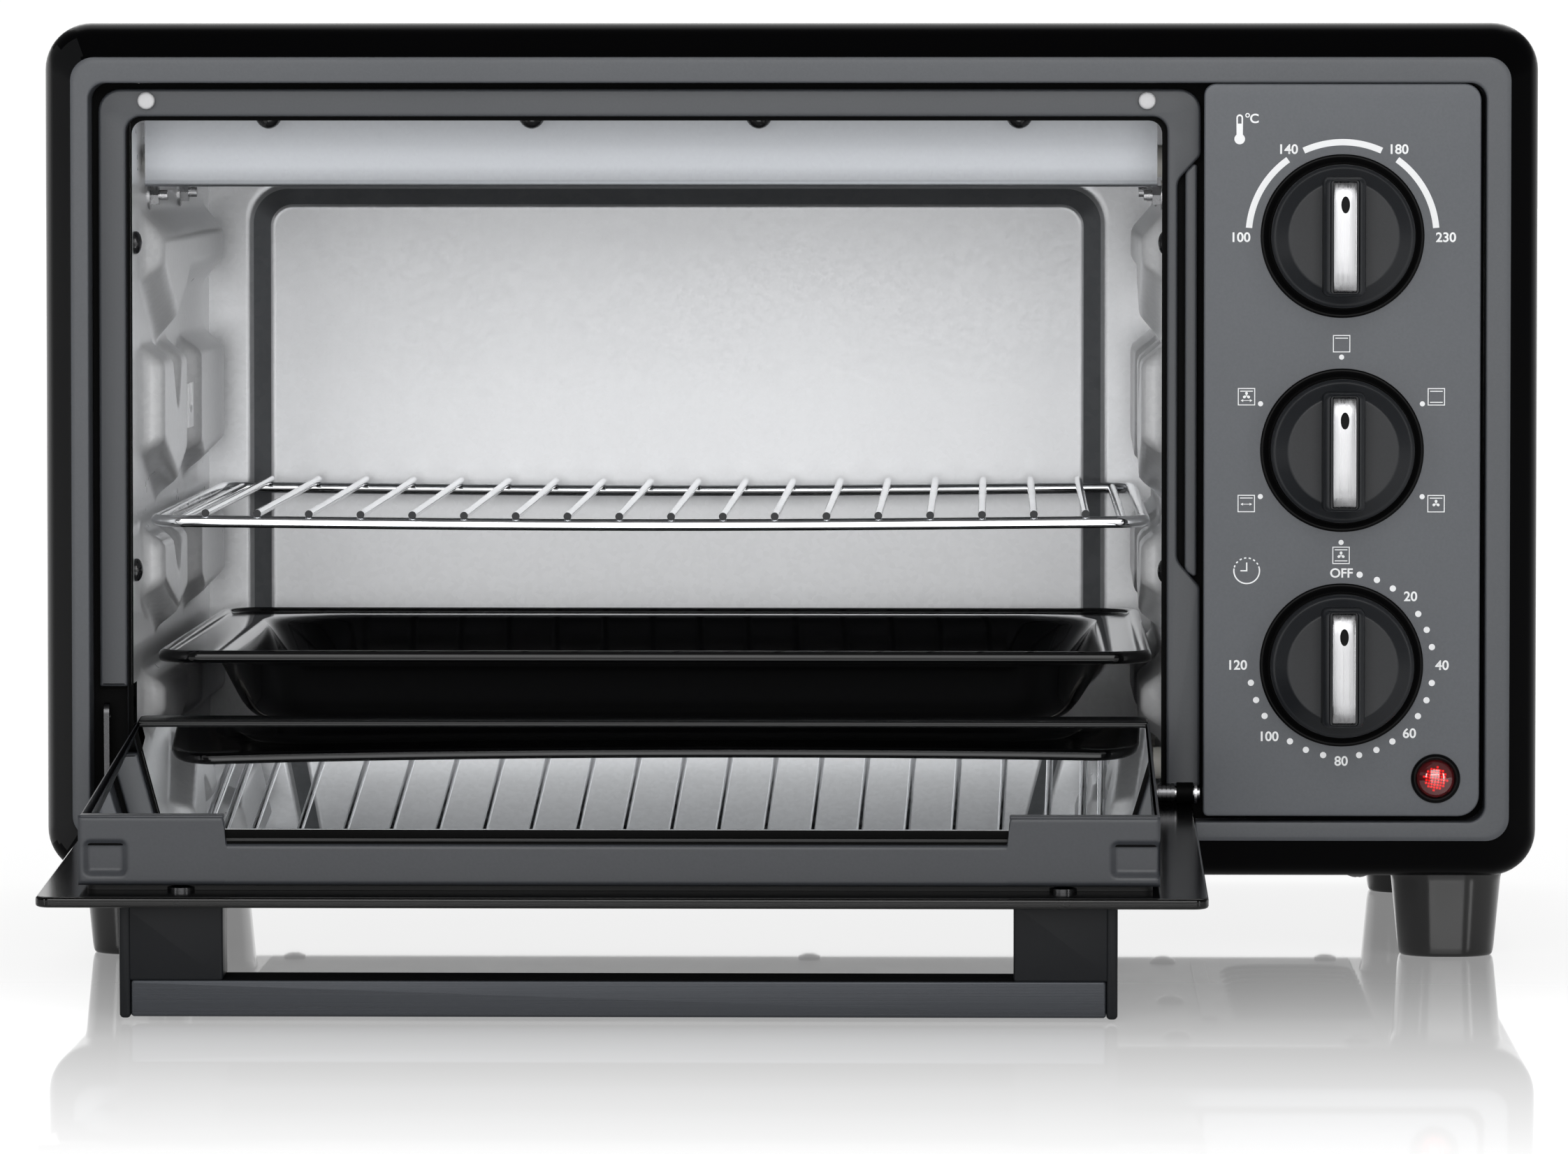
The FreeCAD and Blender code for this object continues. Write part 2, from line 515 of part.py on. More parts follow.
def switch_body(z, kind):
    if kind == "temperature":
        b = box(knob_x - 17, knob_x + 17, panel_t, 22.0, z - 17, z + 17)
        b = b.fuse(cyl((knob_x, 22, z), (knob_x, 29, z), 13.0))
    elif kind == "mode":
        b = box(knob_x - 19, knob_x + 19, panel_t, 30.0, z - 16, z + 16)
        for dz in (-10, 0, 10):
            b = b.fuse(box(knob_x - 23, knob_x + 23, 24.0, 25.0, z + dz - 2.5, z + dz + 2.5))
    else:
        b = box(knob_x - 21, knob_x + 21, panel_t, 34.0, z - 21, z + 21)
    b = b.fuse(cyl((knob_x, -0.3, z), (knob_x, panel_t + 1, z), 4.8))
    return b.cut(cyl((knob_x, -1, z), (knob_x, 20.3, z), bore))


add("thermostat_body", switch_body(knob_z["temperature"], "temperature"))
add("mode_switch_body", switch_body(knob_z["mode"], "mode"))
timer = switch_body(knob_z["timer"], "timer")
bell = cyl((knob_x, 36.0, knob_z["timer"]), (knob_x, 46.0, knob_z["timer"]), 17.0)
bell = bell.cut(cyl((knob_x, 35.0, knob_z["timer"]), (knob_x, 45.0, knob_z["timer"]), 16.0))
bell = bell.fuse(cyl((knob_x, 34.0, knob_z["timer"]), (knob_x, 46.0, knob_z["timer"]), 2.5))
add("timer_body", timer.fuse(bell).removeSplitter())

# convection fan behind the perforations, and the spit drive above it
fan = cyl((119.0, fan_y, fan_z), (129.0, fan_y, fan_z), 6.0)
for i in range(6):
    blade = box(121.0, 128.0, fan_y - 0.5, fan_y + 0.5, fan_z + 5.0, fan_z + fan_r)
    blade.rotate(V(124.5, fan_y, fan_z), V(0, 0, 1), 25)
    blade.rotate(V(124.5, fan_y, fan_z), V(1, 0, 0), 60 * i)
    fan = fan.fuse(blade)
fan = fan.fuse(cyl((129.0, fan_y, fan_z), (150.0, fan_y, fan_z), 2.5))
add("fan", fan)
motor = cyl((134.0, fan_y, fan_z), (164.0, fan_y, fan_z), 22.0)
motor = motor.fuse(box(134.0, 135.5, fan_y - 33, fan_y + 33, fan_z - 8, fan_z + 8))
add("fan_motor", motor.cut(cyl((130.0, fan_y, fan_z), (151.0, fan_y, fan_z), 2.5 + shaft_gap)))
drive = cyl((108.5, spit_y, spit_z), (140.0, spit_y, spit_z), 5.0)
drive = drive.cut(box(107.0, 126.0, spit_y - 2.6, spit_y + 2.6, spit_z - 2.6, spit_z + 2.6))
add("spit_drive_socket", drive)
motor = box(128.0, 160.0, spit_y - 24, spit_y + 24, spit_z - 24, spit_z + 24)
add("spit_motor", motor.cut(cyl((120.0, spit_y, spit_z), (140.5, spit_y, spit_z), 5.0 + shaft_gap)))

# ------------------------------------------------------- rack and trays
zc = rack_z
mid = [(rack_x0 + rack_rail_r, rack_x1 - rack_rail_r, rack_y0 + rack_rail_r, rack_y1 - rack_rail_r)]
x0, x1, y0, y1 = mid[0]
path = rrz_wire(x0, x1, y0, y1, 12.0, zc)
start = V(0.5 * (x0 + x1), y0, zc)
rods = [cyl((x0 + 12, y0, zc), (x1 - 12, y0, zc), rack_rail_r),
        cyl((x0 + 12, y1, zc), (x1 - 12, y1, zc), rack_rail_r),
        cyl((x0, y0 + 12, zc), (x0, y1 - 12, zc), rack_rail_r),
        cyl((x1, y0 + 12, zc), (x1, y1 - 12, zc), rack_rail_r)]
for cx, cy, a in ((x0 + 12, y0 + 12, 180), (x1 - 12, y0 + 12, 270),
                  (x1 - 12, y1 - 12, 0), (x0 + 12, y1 - 12, 90)):
    tor = Part.makeTorus(12.0, rack_rail_r, V(cx, cy, zc), V(0, 0, 1), 0, 360, 90)
    tor.rotate(V(cx, cy, zc), V(0, 0, 1), a)
    rods.append(tor)
for x in (x0 + 6.0, x1 - 6.0):
    rods.append(cyl((x, y0, zc), (x, y1, zc), 1.6))
for i in range(rack_n_wires):
    x = rack_wire_x0 + rack_wire_pitch * i
    rods.append(cyl((x, y0 - 0.6, zc + 2.75), (x, y1 + 0.6, zc + 2.75), rack_wire_r))
rack = rods[0].fuse(rods[1:])
add("wire_rack", rack)


def tray_wires(d):
    return (rrz_wire(-167 + d, 83 - d, 58 + d, 265 - d, 20.0, tray_floor_z + (tray_t if d else 0)),
            rrz_wire(-177 + d, 95 - d, 46 + d, 277 - d, 28.0, tray_rim_z - 1.5))


tray = rrz(tray_x0, tray_x1, tray_y0, tray_y1, tray_rim_z - 1.5 - tray_t, tray_rim_z - 1.5, 14.0)
bead = rrz(tray_x0, tray_x1, tray_y0, tray_y1, tray_rim_z - 4.0, tray_rim_z, 14.0)
bead = bead.cut(rrz(tray_x0 + 3.5, tray_x1 - 3.5, tray_y0 + 3.5, tray_y1 - 3.5, 80, 100, 10.5))
tray = tray.fuse(bead).fuse(loft(*tray_wires(0)))
tray = tray.cut(loft(*tray_wires(tray_t)))
add("baking_tray", tray.removeSplitter())

crumb = rrz(-192.0, 106.0, 31.5, 296.0, cav_z0 + 0.2, cav_z0 + 2.4, 4.0)
crumb = crumb.cut(rrz(-191.2, 105.2, 32.3, 295.2, cav_z0 + 1.0, cav_z0 + 9, 3.2))
add("crumb_tray", crumb)

# ------------------------------------------------------------------- door
# The door is drawn closed: n counts from the hinge line into the oven, s up
# the door from the hinge line.  open_door() lays it forward.
door = {}


def dbox(x0, x1, n0, n1, s0, s1):
    return box(x0, x1, hinge_y + n0, hinge_y + n1, hinge_z + s0, hinge_z + s1)


def drr(x0, x1, n0, n1, s0, s1, r):
    return rr(x0, x1, hinge_y + n0, hinge_y + n1, hinge_z + s0, hinge_z + s1, r)


def dcyl(x, s_, n0, n1, r):
    return cyl((x, hinge_y + n0, hinge_z + s_), (x, hinge_y + n1, hinge_z + s_), r)


door_screw_at = [(-168.0, 187.0), (-168.0, 195.5), (81.0, 187.0), (81.0, 195.5)]
glass = drr(glass_x0, glass_x1, glass_n0, glass_n1, glass_s0, glass_s1, (1.5, 1.5, 4.0, 4.0))
door["door_outer_glass"] = cut_all(glass, [dcyl(x, s_, -9, 0, 1.95) for x, s_ in door_screw_at])

# pressed frame: outer wall, window wall and the ledge the inner glass lies on
fx0, fx1, fs0, fs1 = dframe_x0, dframe_x1, dframe_s0, dframe_s1
t = 1.0
fr = drr(fx0, fx1, dframe_n0, dframe_n1, fs0, fs1, 1.0)
fr = fr.cut(drr(fx0 + t, fx1 - t, dframe_n0 - 1, dframe_n1 - 1.0, fs0 + t, fs1 - t, 0.5))
fr = fr.cut(drr(fx0 + 13.0, fx1 - 13.0, dframe_n1 - 2, dframe_n1 + 1, fs0 + 13.0, fs1 - 11.0, 2.0))
fr = fr.cut(dbox(notch_x0, notch_x1, ledge_n, dframe_n1 + 1, fs1 - 12.0, fs1 + 1))
ledge = drr(fx0 + 0.5, fx1 - 0.5, ledge_n - t, ledge_n, fs0 + 0.5, fs1 - 0.5, 0.5)
ledge = ledge.fuse(drr(-178.0 - t, 90.0 + t, dframe_n0, ledge_n, 24.0 - t, 180.0 + t, 6.0))
ledge = ledge.cut(drr(-178.0, 90.0, dframe_n0 - 1, ledge_n + 1, 24.0, 180.0, 5.0))
fr = fr.fuse(ledge)
# feet along both sides that hold the frame off the outer glass
for xa, xb in ((fx0 + 0.2, fx0 + 2.0), (fx1 - 2.0, fx1 - 0.2)):
    fr = fr.fuse(dbox(xa, xb, glass_n1, dframe_n0 + 2.0, 30.0, 170.0))
for xa, xb in ((fx0 - 1.8, fx0 + 0.2), (fx1 - 0.2, fx1 + 1.8)):
    ear = cyl((xa, hinge_y, hinge_z), (xb, hinge_y, hinge_z), ear_r)
    ear = ear.fuse(dbox(xa, xb, -2.0, 8.0, 0.0, 30.0))
    fr = fr.fuse(ear)
fr = fr.cut(cyl((fx0 - 3, hinge_y, hinge_z), (fx0 + 1, hinge_y, hinge_z), pin_r_left))
fr = fr.cut(cyl((fx1 - 1, hinge_y, hinge_z), (fx1 + 3, hinge_y, hinge_z), pin_r_right))
# pressed rectangles at both ends of the top edge
for xa, xb in ((fx0 + 3.0, fx0 + 15.0), (fx1 - 15.0, fx1 - 3.0)):
    fr = fr.cut(dbox(xa, xb, 1.0, 10.5, fs1 - 0.4, fs1 + 1))
door["door_frame"] = fr.removeSplitter()

seal = drr(fx0 + 2.0, fx1 - 2.0, ledge_n, inner_n0, fs0 + 15.5, fs1 - 1.2, 1.0)
door["inner_glass_seal"] = seal.cut(drr(-179.0, 91.0, ledge_n - 1, inner_n0 + 1, 23.0, 181.0, 5.0))
door["door_inner_glass"] = drr(fx0 + 1.5, fx1 - 1.5, inner_n0, inner_n1, fs0 + 12.0, fs1 - 1.05, 1.0)

posts = {"handle_bracket_left": (handle_x0, handle_x0 + post_w, 1),
         "handle_bracket_right": (handle_x1 - post_w, handle_x1, -1)}
for pname, (xa, xb, d) in posts.items():
    p = drr(xa, xb, handle_n1, glass_n0, handle_s0, handle_s1, 1.2)
    ex = (xa, xa + end_plate) if d > 0 else (xb - end_plate, xb)
    p = p.fuse(drr(ex[0], ex[1], handle_n0, glass_n0, handle_s0, handle_s1, 1.2))
    own = [q for q in door_screw_at if xa < q[0] < xb]
    door[pname] = cut_all(p, [dcyl(x, s_, -20, -5, 1.85) for x, s_ in own]).removeSplitter()
door["handle_bar"] = drr(handle_x0 + end_plate, handle_x1 - end_plate, handle_n0, handle_n1,
                         handle_s0, handle_s1, 1.0)
hs = []
for x, s_ in door_screw_at:
    q = pan_screw((x, hinge_y + glass_n1, hinge_z + s_), (0, 1, 0), 4.0, 1.7, 1.8, 15.0)
    hs.append(q)
door["handle_screws"] = group(hs)

pin_left = cyl((-208.0, hinge_y, hinge_z), (fx0 + 0.9, hinge_y, hinge_z), pin_r_left)
pin = cyl((fx1 - 0.9, hinge_y, hinge_z), (123.6, hinge_y, hinge_z), pin_r_right)
pin = pin.fuse(cyl((122.0, hinge_y, hinge_z), (122.8, hinge_y, hinge_z), 3.3))
door["hinge_pins"] = group([pin_left, pin])
lever = cyl((-207.4, hinge_y, hinge_z), (-205.8, hinge_y, hinge_z), ear_r)
lever = lever.fuse(dbox(-207.4, -205.8, 0.0, 24.0, -3.0, 3.0))
lever = lever.fuse(cyl((-207.4, hinge_y + 24.0, hinge_z), (-205.8, hinge_y + 24.0, hinge_z), 3.0))
lever = lever.cut(cyl((-210, hinge_y, hinge_z), (-200, hinge_y, hinge_z), pin_r_left))
lever = lever.cut(cyl((-210, hinge_y + 23.0, hinge_z), (-200, hinge_y + 23.0, hinge_z), 1.3))
door["hinge_lever_left"] = lever.removeSplitter()

for name, shape in door.items():
    shape = shape.copy()
    shape.rotate(V(0, hinge_y, hinge_z), V(1, 0, 0), door_open_deg)
    add(name, shape)

# hinge brackets on the case
hb = cyl((-204.6, hinge_y, hinge_z), (-202.6, hinge_y, hinge_z), ear_r)
hb = hb.fuse(box(-204.6, -202.6, hinge_y, 26.0, hinge_z - 3.4, hinge_z + 3.4))
hb = hb.fuse(box(-204.6, -202.6, 20.0, 34.0, body_z0 + 1.0, 70.0))
hb = hb.fuse(box(-202.6, cav_x0 - s, 22.0, 34.0, cav_z0 + 2, 70.0))
add("hinge_bracket_left", hb.cut(cyl((-206, hinge_y, hinge_z), (-200, hinge_y, hinge_z),
                                     pin_r_left + shaft_gap)).removeSplitter())
hb = cyl((116.6, hinge_y, hinge_z), (121.6, hinge_y, hinge_z), ear_r)
hb = hb.fuse(box(116.6, 121.6, hinge_y, 26.0, hinge_z - 3.4, hinge_z + 3.4))
hb = hb.fuse(box(116.6, 121.6, 20.0, 34.0, body_z0 + 1.0, 70.0))
hb = hb.fuse(box(cav_x1 + s, 116.6, 22.0, 34.0, cav_z0 + 2, 70.0))
add("hinge_bracket_right", hb.cut(cyl((115, hinge_y, hinge_z), (123, hinge_y, hinge_z),
                                      pin_r_right + shaft_gap)).removeSplitter())
spring = cyl((110.9, hinge_y, hinge_z), (116.1, hinge_y, hinge_z), 2.75)
for i in range(4):
    spring = spring.fuse(cyl((111.1 + 1.3 * i, hinge_y, hinge_z),
                             (112.0 + 1.3 * i, hinge_y, hinge_z), 3.1))
add("hinge_spring_right", spring.cut(cyl((110, hinge_y, hinge_z), (117, hinge_y, hinge_z), 2.2)))

# ----------------------------------------------------------------- output
os.makedirs("parts", exist_ok=True)
lo = [1e9] * 3
hi = [-1e9] * 3
for name, shape in nodes.items():
    shape = shape.copy()
    shape.translate(V(0, y_front, 0))
    if not shape.isValid():
        print("invalid shape:", name)
    bb = shape.BoundBox
    lo = [min(a, b) for a, b in zip(lo, (bb.XMin, bb.YMin, bb.ZMin))]
    hi = [max(a, b) for a, b in zip(hi, (bb.XMax, bb.YMax, bb.ZMax))]
    n = len(shape.Solids)
    if n != 1:
        print("solids in", name, n)
    shape.exportStep("parts/%s.step" % name)
print("nodes", len(nodes))
print("box", [round(v, 3) for v in lo], [round(v, 3) for v in hi])
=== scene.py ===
import bpy
import bmesh
import json
import math
import random

from mathutils import Matrix, Vector


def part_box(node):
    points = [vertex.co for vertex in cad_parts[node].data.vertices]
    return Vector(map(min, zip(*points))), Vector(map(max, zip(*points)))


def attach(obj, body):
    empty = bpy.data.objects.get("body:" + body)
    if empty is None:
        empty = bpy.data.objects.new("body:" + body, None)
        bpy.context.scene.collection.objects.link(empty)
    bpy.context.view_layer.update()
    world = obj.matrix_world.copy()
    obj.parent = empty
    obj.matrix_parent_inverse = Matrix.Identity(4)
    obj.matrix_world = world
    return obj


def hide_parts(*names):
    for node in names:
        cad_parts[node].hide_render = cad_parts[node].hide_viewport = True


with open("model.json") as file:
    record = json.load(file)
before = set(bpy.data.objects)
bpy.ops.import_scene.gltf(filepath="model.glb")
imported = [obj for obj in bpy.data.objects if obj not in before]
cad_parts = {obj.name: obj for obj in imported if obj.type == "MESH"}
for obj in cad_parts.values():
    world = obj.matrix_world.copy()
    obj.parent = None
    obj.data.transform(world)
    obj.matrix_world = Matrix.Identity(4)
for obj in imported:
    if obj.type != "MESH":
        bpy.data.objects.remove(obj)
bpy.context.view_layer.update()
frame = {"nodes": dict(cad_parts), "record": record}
nodes = frame["nodes"]
random.seed(7)

# The part is drawn in millimetres: x to the right of the case's middle, y
# counted from the bezel's front face towards the back, z up from the floor.
bezel_lo, bezel_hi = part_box("front_frame")
YF = bezel_lo.y * 1000.0
HY, HZ = 10.0, 51.2                       # hinge line
OPEN = math.radians(93.0)
CO, SO = math.cos(OPEN), math.sin(OPEN)


def P(x, y, z):
    return Vector((x / 1000.0, (y + YF) / 1000.0, z / 1000.0))


def PX(a, b, c):          # section in XZ, depth along Y
    return P(a, c, b)


def PZ(a, b, c):          # section in XY, depth along Z
    return P(a, b, c)


def D(x, n, s):           # door: n from the hinge line inwards, s up the door
    return P(x, HY + n * CO - s * SO, HZ + n * SO + s * CO)


def PD(a, b, c):          # door section in XS, depth along N
    return D(a, c, b)


# ------------------------------------------------------------- materials
mats = {}


def new_mat(name):
    m = bpy.data.materials.new(name)
    m.use_nodes = True
    mats[name] = m
    return m, m.node_tree.nodes, m.node_tree.links, m.node_tree.nodes["Principled BSDF"]


def setv(node, name, value):
    if name in node.inputs:
        node.inputs[name].default_value = value


def coords(nt, scale):
    tc = nt.new("ShaderNodeTexCoord")
    mp = nt.new("ShaderNodeMapping")
    mp.inputs["Scale"].default_value = scale
    return tc, mp


def paint(name, color, rough, spec=0.5, grain=900.0, bump=0.04, rough_var=0.06,
          coat=0.0, coat_rough=0.1, col_var=0.25, metallic=0.0):
    """Sprayed or moulded surface: fine orange peel, small colour and gloss variation."""
    m, n, l, b = new_mat(name)
    tc, mp = coords(n, (1, 1, 1))
    l.new(tc.outputs["Object"], mp.inputs["Vector"])
    fine = n.new("ShaderNodeTexNoise")
    fine.inputs["Scale"].default_value = grain
    fine.inputs["Detail"].default_value = 3.0
    l.new(mp.outputs["Vector"], fine.inputs["Vector"])
    wide = n.new("ShaderNodeTexNoise")
    wide.inputs["Scale"].default_value = 14.0
    wide.inputs["Detail"].default_value = 4.0
    l.new(mp.outputs["Vector"], wide.inputs["Vector"])
    ramp = n.new("ShaderNodeMapRange")
    ramp.inputs["To Min"].default_value = max(0.02, rough - rough_var)
    ramp.inputs["To Max"].default_value = rough + rough_var
    l.new(wide.outputs["Fac"], ramp.inputs["Value"])
    l.new(ramp.outputs["Result"], b.inputs["Roughness"])
    mix = n.new("ShaderNodeMix")
    mix.data_type = "RGBA"
    lo = [c * (1 - col_var) for c in color]
    hi = [min(1, c * (1 + col_var)) for c in color]
    mix.inputs[6].default_value = (*lo, 1)
    mix.inputs[7].default_value = (*hi, 1)
    l.new(fine.outputs["Fac"], mix.inputs[0])
    l.new(mix.outputs[2], b.inputs["Base Color"])
    bp = n.new("ShaderNodeBump")
    bp.inputs["Strength"].default_value = bump
    bp.inputs["Distance"].default_value = 0.0004
    l.new(fine.outputs["Fac"], bp.inputs["Height"])
    l.new(bp.outputs["Normal"], b.inputs["Normal"])
    setv(b, "Specular IOR Level", spec)
    setv(b, "Metallic", metallic)
    if coat:
        setv(b, "Coat Weight", coat)
        setv(b, "Coat Roughness", coat_rough)
    return m


def spangle(name, color, rough, scale=420.0, bump=0.05, rough_var=0.07, col_var=0.10, metallic=1.0):
    """Aluminised or galvanised sheet: fine crystalline speckle in tone and gloss."""
    m, n, l, b = new_mat(name)
    tc, mp = coords(n, (1, 1, 1))
    l.new(tc.outputs["Object"], mp.inputs["Vector"])
    v = n.new("ShaderNodeTexVoronoi")
    v.inputs["Scale"].default_value = scale
    l.new(mp.outputs["Vector"], v.inputs["Vector"])
    sep = n.new("ShaderNodeSeparateColor")
    l.new(v.outputs["Color"], sep.inputs["Color"])
    wide = n.new("ShaderNodeTexNoise")
    wide.inputs["Scale"].default_value = 22.0
    wide.inputs["Detail"].default_value = 5.0
    l.new(mp.outputs["Vector"], wide.inputs["Vector"])
    add = n.new("ShaderNodeMath")
    add.operation = "MULTIPLY_ADD"
    add.inputs[1].default_value = 0.55
    l.new(sep.outputs["Red"], add.inputs[0])
    mul = n.new("ShaderNodeMath")
    mul.operation = "MULTIPLY"
    mul.inputs[1].default_value = 0.45
    l.new(wide.outputs["Fac"], mul.inputs[0])
    l.new(mul.outputs[0], add.inputs[2])
    rr_ = n.new("ShaderNodeMapRange")
    rr_.inputs["To Min"].default_value = rough - rough_var
    rr_.inputs["To Max"].default_value = rough + rough_var
    l.new(add.outputs[0], rr_.inputs["Value"])
    l.new(rr_.outputs["Result"], b.inputs["Roughness"])
    mix = n.new("ShaderNodeMix")
    mix.data_type = "RGBA"
    mix.inputs[6].default_value = (*[c * (1 - col_var) for c in color], 1)
    mix.inputs[7].default_value = (*[min(1, c * (1 + col_var)) for c in color], 1)
    l.new(add.outputs[0], mix.inputs[0])
    l.new(mix.outputs[2], b.inputs["Base Color"])
    bp = n.new("ShaderNodeBump")
    bp.inputs["Strength"].default_value = bump
    bp.inputs["Distance"].default_value = 0.0005
    l.new(sep.outputs["Green"], bp.inputs["Height"])
    l.new(bp.outputs["Normal"], b.inputs["Normal"])
    setv(b, "Metallic", metallic)
    return m


def brushed(name, color, rough, stretch=(4.0, 900.0, 900.0), bump=0.05, metallic=1.0, spec=0.5):
    """Brushed metal: long fine scratches along one axis."""
    m, n, l, b = new_mat(name)
    tc, mp = coords(n, stretch)
    l.new(tc.outputs["Object"], mp.inputs["Vector"])
    no = n.new("ShaderNodeTexNoise")
    no.inputs["Scale"].default_value = 2.0
    no.inputs["Detail"].default_value = 4.0
    l.new(mp.outputs["Vector"], no.inputs["Vector"])
    mr = n.new("ShaderNodeMapRange")
    mr.inputs["From Min"].default_value = 0.3
    mr.inputs["From Max"].default_value = 0.7
    mr.inputs["To Min"].default_value = max(0.03, rough - 0.12)
    mr.inputs["To Max"].default_value = rough + 0.12
    l.new(no.outputs["Fac"], mr.inputs["Value"])
    l.new(mr.outputs["Result"], b.inputs["Roughness"])
    mix = n.new("ShaderNodeMix")
    mix.data_type = "RGBA"
    mix.inputs[6].default_value = (*[c * 0.8 for c in color], 1)
    mix.inputs[7].default_value = (*[min(1, c * 1.18) for c in color], 1)
    l.new(no.outputs["Fac"], mix.inputs[0])
    l.new(mix.outputs[2], b.inputs["Base Color"])
    bp = n.new("ShaderNodeBump")
    bp.inputs["Strength"].default_value = bump
    bp.inputs["Distance"].default_value = 0.0003
    l.new(no.outputs["Fac"], bp.inputs["Height"])
    l.new(bp.outputs["Normal"], b.inputs["Normal"])
    setv(b, "Metallic", metallic)
    setv(b, "Specular IOR Level", spec)
    return m


def glass(name, color, rough, ior=1.5, smear=0.02):
    m, n, l, b = new_mat(name)
    tc, mp = coords(n, (1, 1, 1))
    l.new(tc.outputs["Object"], mp.inputs["Vector"])
    no = n.new("ShaderNodeTexNoise")
    no.inputs["Scale"].default_value = 30.0
    no.inputs["Detail"].default_value = 6.0
    l.new(mp.outputs["Vector"], no.inputs["Vector"])
    mr = n.new("ShaderNodeMapRange")
    mr.inputs["From Min"].default_value = 0.45
    mr.inputs["From Max"].default_value = 0.8
    mr.inputs["To Min"].default_value = rough
    mr.inputs["To Max"].default_value = rough + smear
    l.new(no.outputs["Fac"], mr.inputs["Value"])
    l.new(mr.outputs["Result"], b.inputs["Roughness"])
    setv(b, "Base Color", (*color, 1))
    setv(b, "Transmission Weight", 1.0)
    setv(b, "IOR", ior)
    return m


paint("case_paint", (0.004, 0.0042, 0.0046), 0.24, spec=0.26, grain=1400, bump=0.04)
paint("bezel_paint", (0.066, 0.0705, 0.079), 0.42, spec=0.5, grain=1500, bump=0.035, col_var=0.12)
paint("panel_paint", (0.084, 0.090, 0.101), 0.44, spec=0.5, grain=1500, bump=0.035, col_var=0.12)
paint("surround_paint", (0.048, 0.0515, 0.058), 0.42, spec=0.5, grain=1500, bump=0.035, col_var=0.12)
paint("door_paint", (0.036, 0.039, 0.045), 0.40, spec=0.5, grain=1300, bump=0.05, col_var=0.15)
spangle("aluminised_steel", (0.635, 0.642, 0.655), 0.36, scale=620.0, bump=0.028, rough_var=0.035, col_var=0.07, metallic=0.78)
# darker copy of the aluminised sheet for the rear wall's pressed border: painted shade
spangle("aluminised_border", (0.26, 0.268, 0.28), 0.42, metallic=0.8)
# lighter, less metallic copy of the aluminised sheet for the side walls: painted light
spangle("aluminised_wall", (0.93, 0.935, 0.95), 0.30, scale=620.0, bump=0.028, rough_var=0.04, col_var=0.06, metallic=0.5)
spangle("aluminised_satin", (0.325, 0.336, 0.355), 0.38, scale=900.0, bump=0.02, rough_var=0.03, col_var=0.05, metallic=0.9)
spangle("galvanised_steel", (0.52, 0.53, 0.55), 0.34, scale=160.0, bump=0.03, col_var=0.18)
paint("black_screws", (0.012, 0.012, 0.013), 0.16, spec=0.6, grain=700, bump=0.02)
brushed("steel", (0.60, 0.60, 0.61), 0.30, stretch=(300, 300, 300), bump=0.02)
brushed("chrome", (0.82, 0.83, 0.85), 0.07, stretch=(60, 60, 60), bump=0.004)
brushed("knob_insert", (0.47, 0.47, 0.48), 0.30, stretch=(700.0, 600.0, 8.0), bump=0.03)
paint("knob_plastic", (0.0125, 0.0138, 0.0162), 0.40, spec=0.34, grain=1800, bump=0.05)
paint("knob_ring", (0.002, 0.002, 0.0022), 0.28, spec=0.09, grain=1500, bump=0.02)
# near black, almost glossless paint for the bezel's rolled sides: painted shade
paint("flange_painted_shade", (0.0010, 0.0010, 0.0012), 0.24, spec=0.05, grain=1500, bump=0.02)
brushed("dark_steel", (0.085, 0.085, 0.088), 0.28, stretch=(300, 300, 300), bump=0.02)
brushed("spring_steel", (0.14, 0.14, 0.145), 0.25, stretch=(300, 300, 300), bump=0.02)
# darkened sheet for the bottom panel, louvres and rib: painted shade under the case
spangle("bottom_sheet", (0.10, 0.101, 0.104), 0.55, scale=160.0, bump=0.03, col_var=0.12, metallic=0.5)
paint("handle_plastic", (0.004, 0.0048, 0.0062), 0.36, spec=0.17, grain=1800, bump=0.04)
brushed("handle_bar", (0.038, 0.0415, 0.048), 0.34, stretch=(5.0, 1100.0, 1100.0), bump=0.10, metallic=0.55)
paint("foot_plastic", (0.002, 0.002, 0.0022), 0.16, spec=0.75, grain=1500, bump=0.015, rough_var=0.03,
      coat=0.15, coat_rough=0.1)
paint("switch_plastic", (0.60, 0.58, 0.52), 0.45, grain=900, bump=0.04, col_var=0.05)
glass("outer_glass", (0.010, 0.011, 0.012), 0.01, ior=1.4)
glass("inner_glass", (0.88, 0.90, 0.91), 0.004, ior=2.1, smear=0.010)
setv(mats["inner_glass"].node_tree.nodes["Principled BSDF"], "Metallic", 0.95)
paint("silicone", (0.55, 0.55, 0.56), 0.45, grain=800, bump=0.05, col_var=0.04)
paint("seal_rubber", (0.012, 0.012, 0.012), 0.6, grain=800, bump=0.08)
paint("black_enamel", (0.002, 0.002, 0.0023), 0.09, spec=0.30, grain=260, bump=0.02, rough_var=0.02,
      coat=0.1, coat_rough=0.05)
spangle("heater_tube", (0.30, 0.29, 0.28), 0.42, scale=900.0)
paint("ceramic", (0.80, 0.78, 0.72), 0.35, grain=600, bump=0.05, col_var=0.04)
brushed("motor_steel", (0.55, 0.55, 0.56), 0.32, stretch=(200, 200, 200), bump=0.02)
paint("mark_white", (0.86, 0.87, 0.88), 0.5, grain=1500, bump=0.02, col_var=0.02)
paint("print_black", (0.004, 0.004, 0.0045), 0.14, spec=0.5, grain=900, bump=0.01)
# flat black with almost no gloss, laid into gaps, wells, slots and the inside of the door: painted shade
paint("dark_slot", (0.002, 0.002, 0.002), 0.5, spec=0.04, grain=1200, bump=0.04)
# near black, matt paint for the handle bar's top faces: painted shade
paint("bar_top_painted_shade", (0.006, 0.006, 0.0065), 0.6, spec=0.03, grain=1200, bump=0.04)

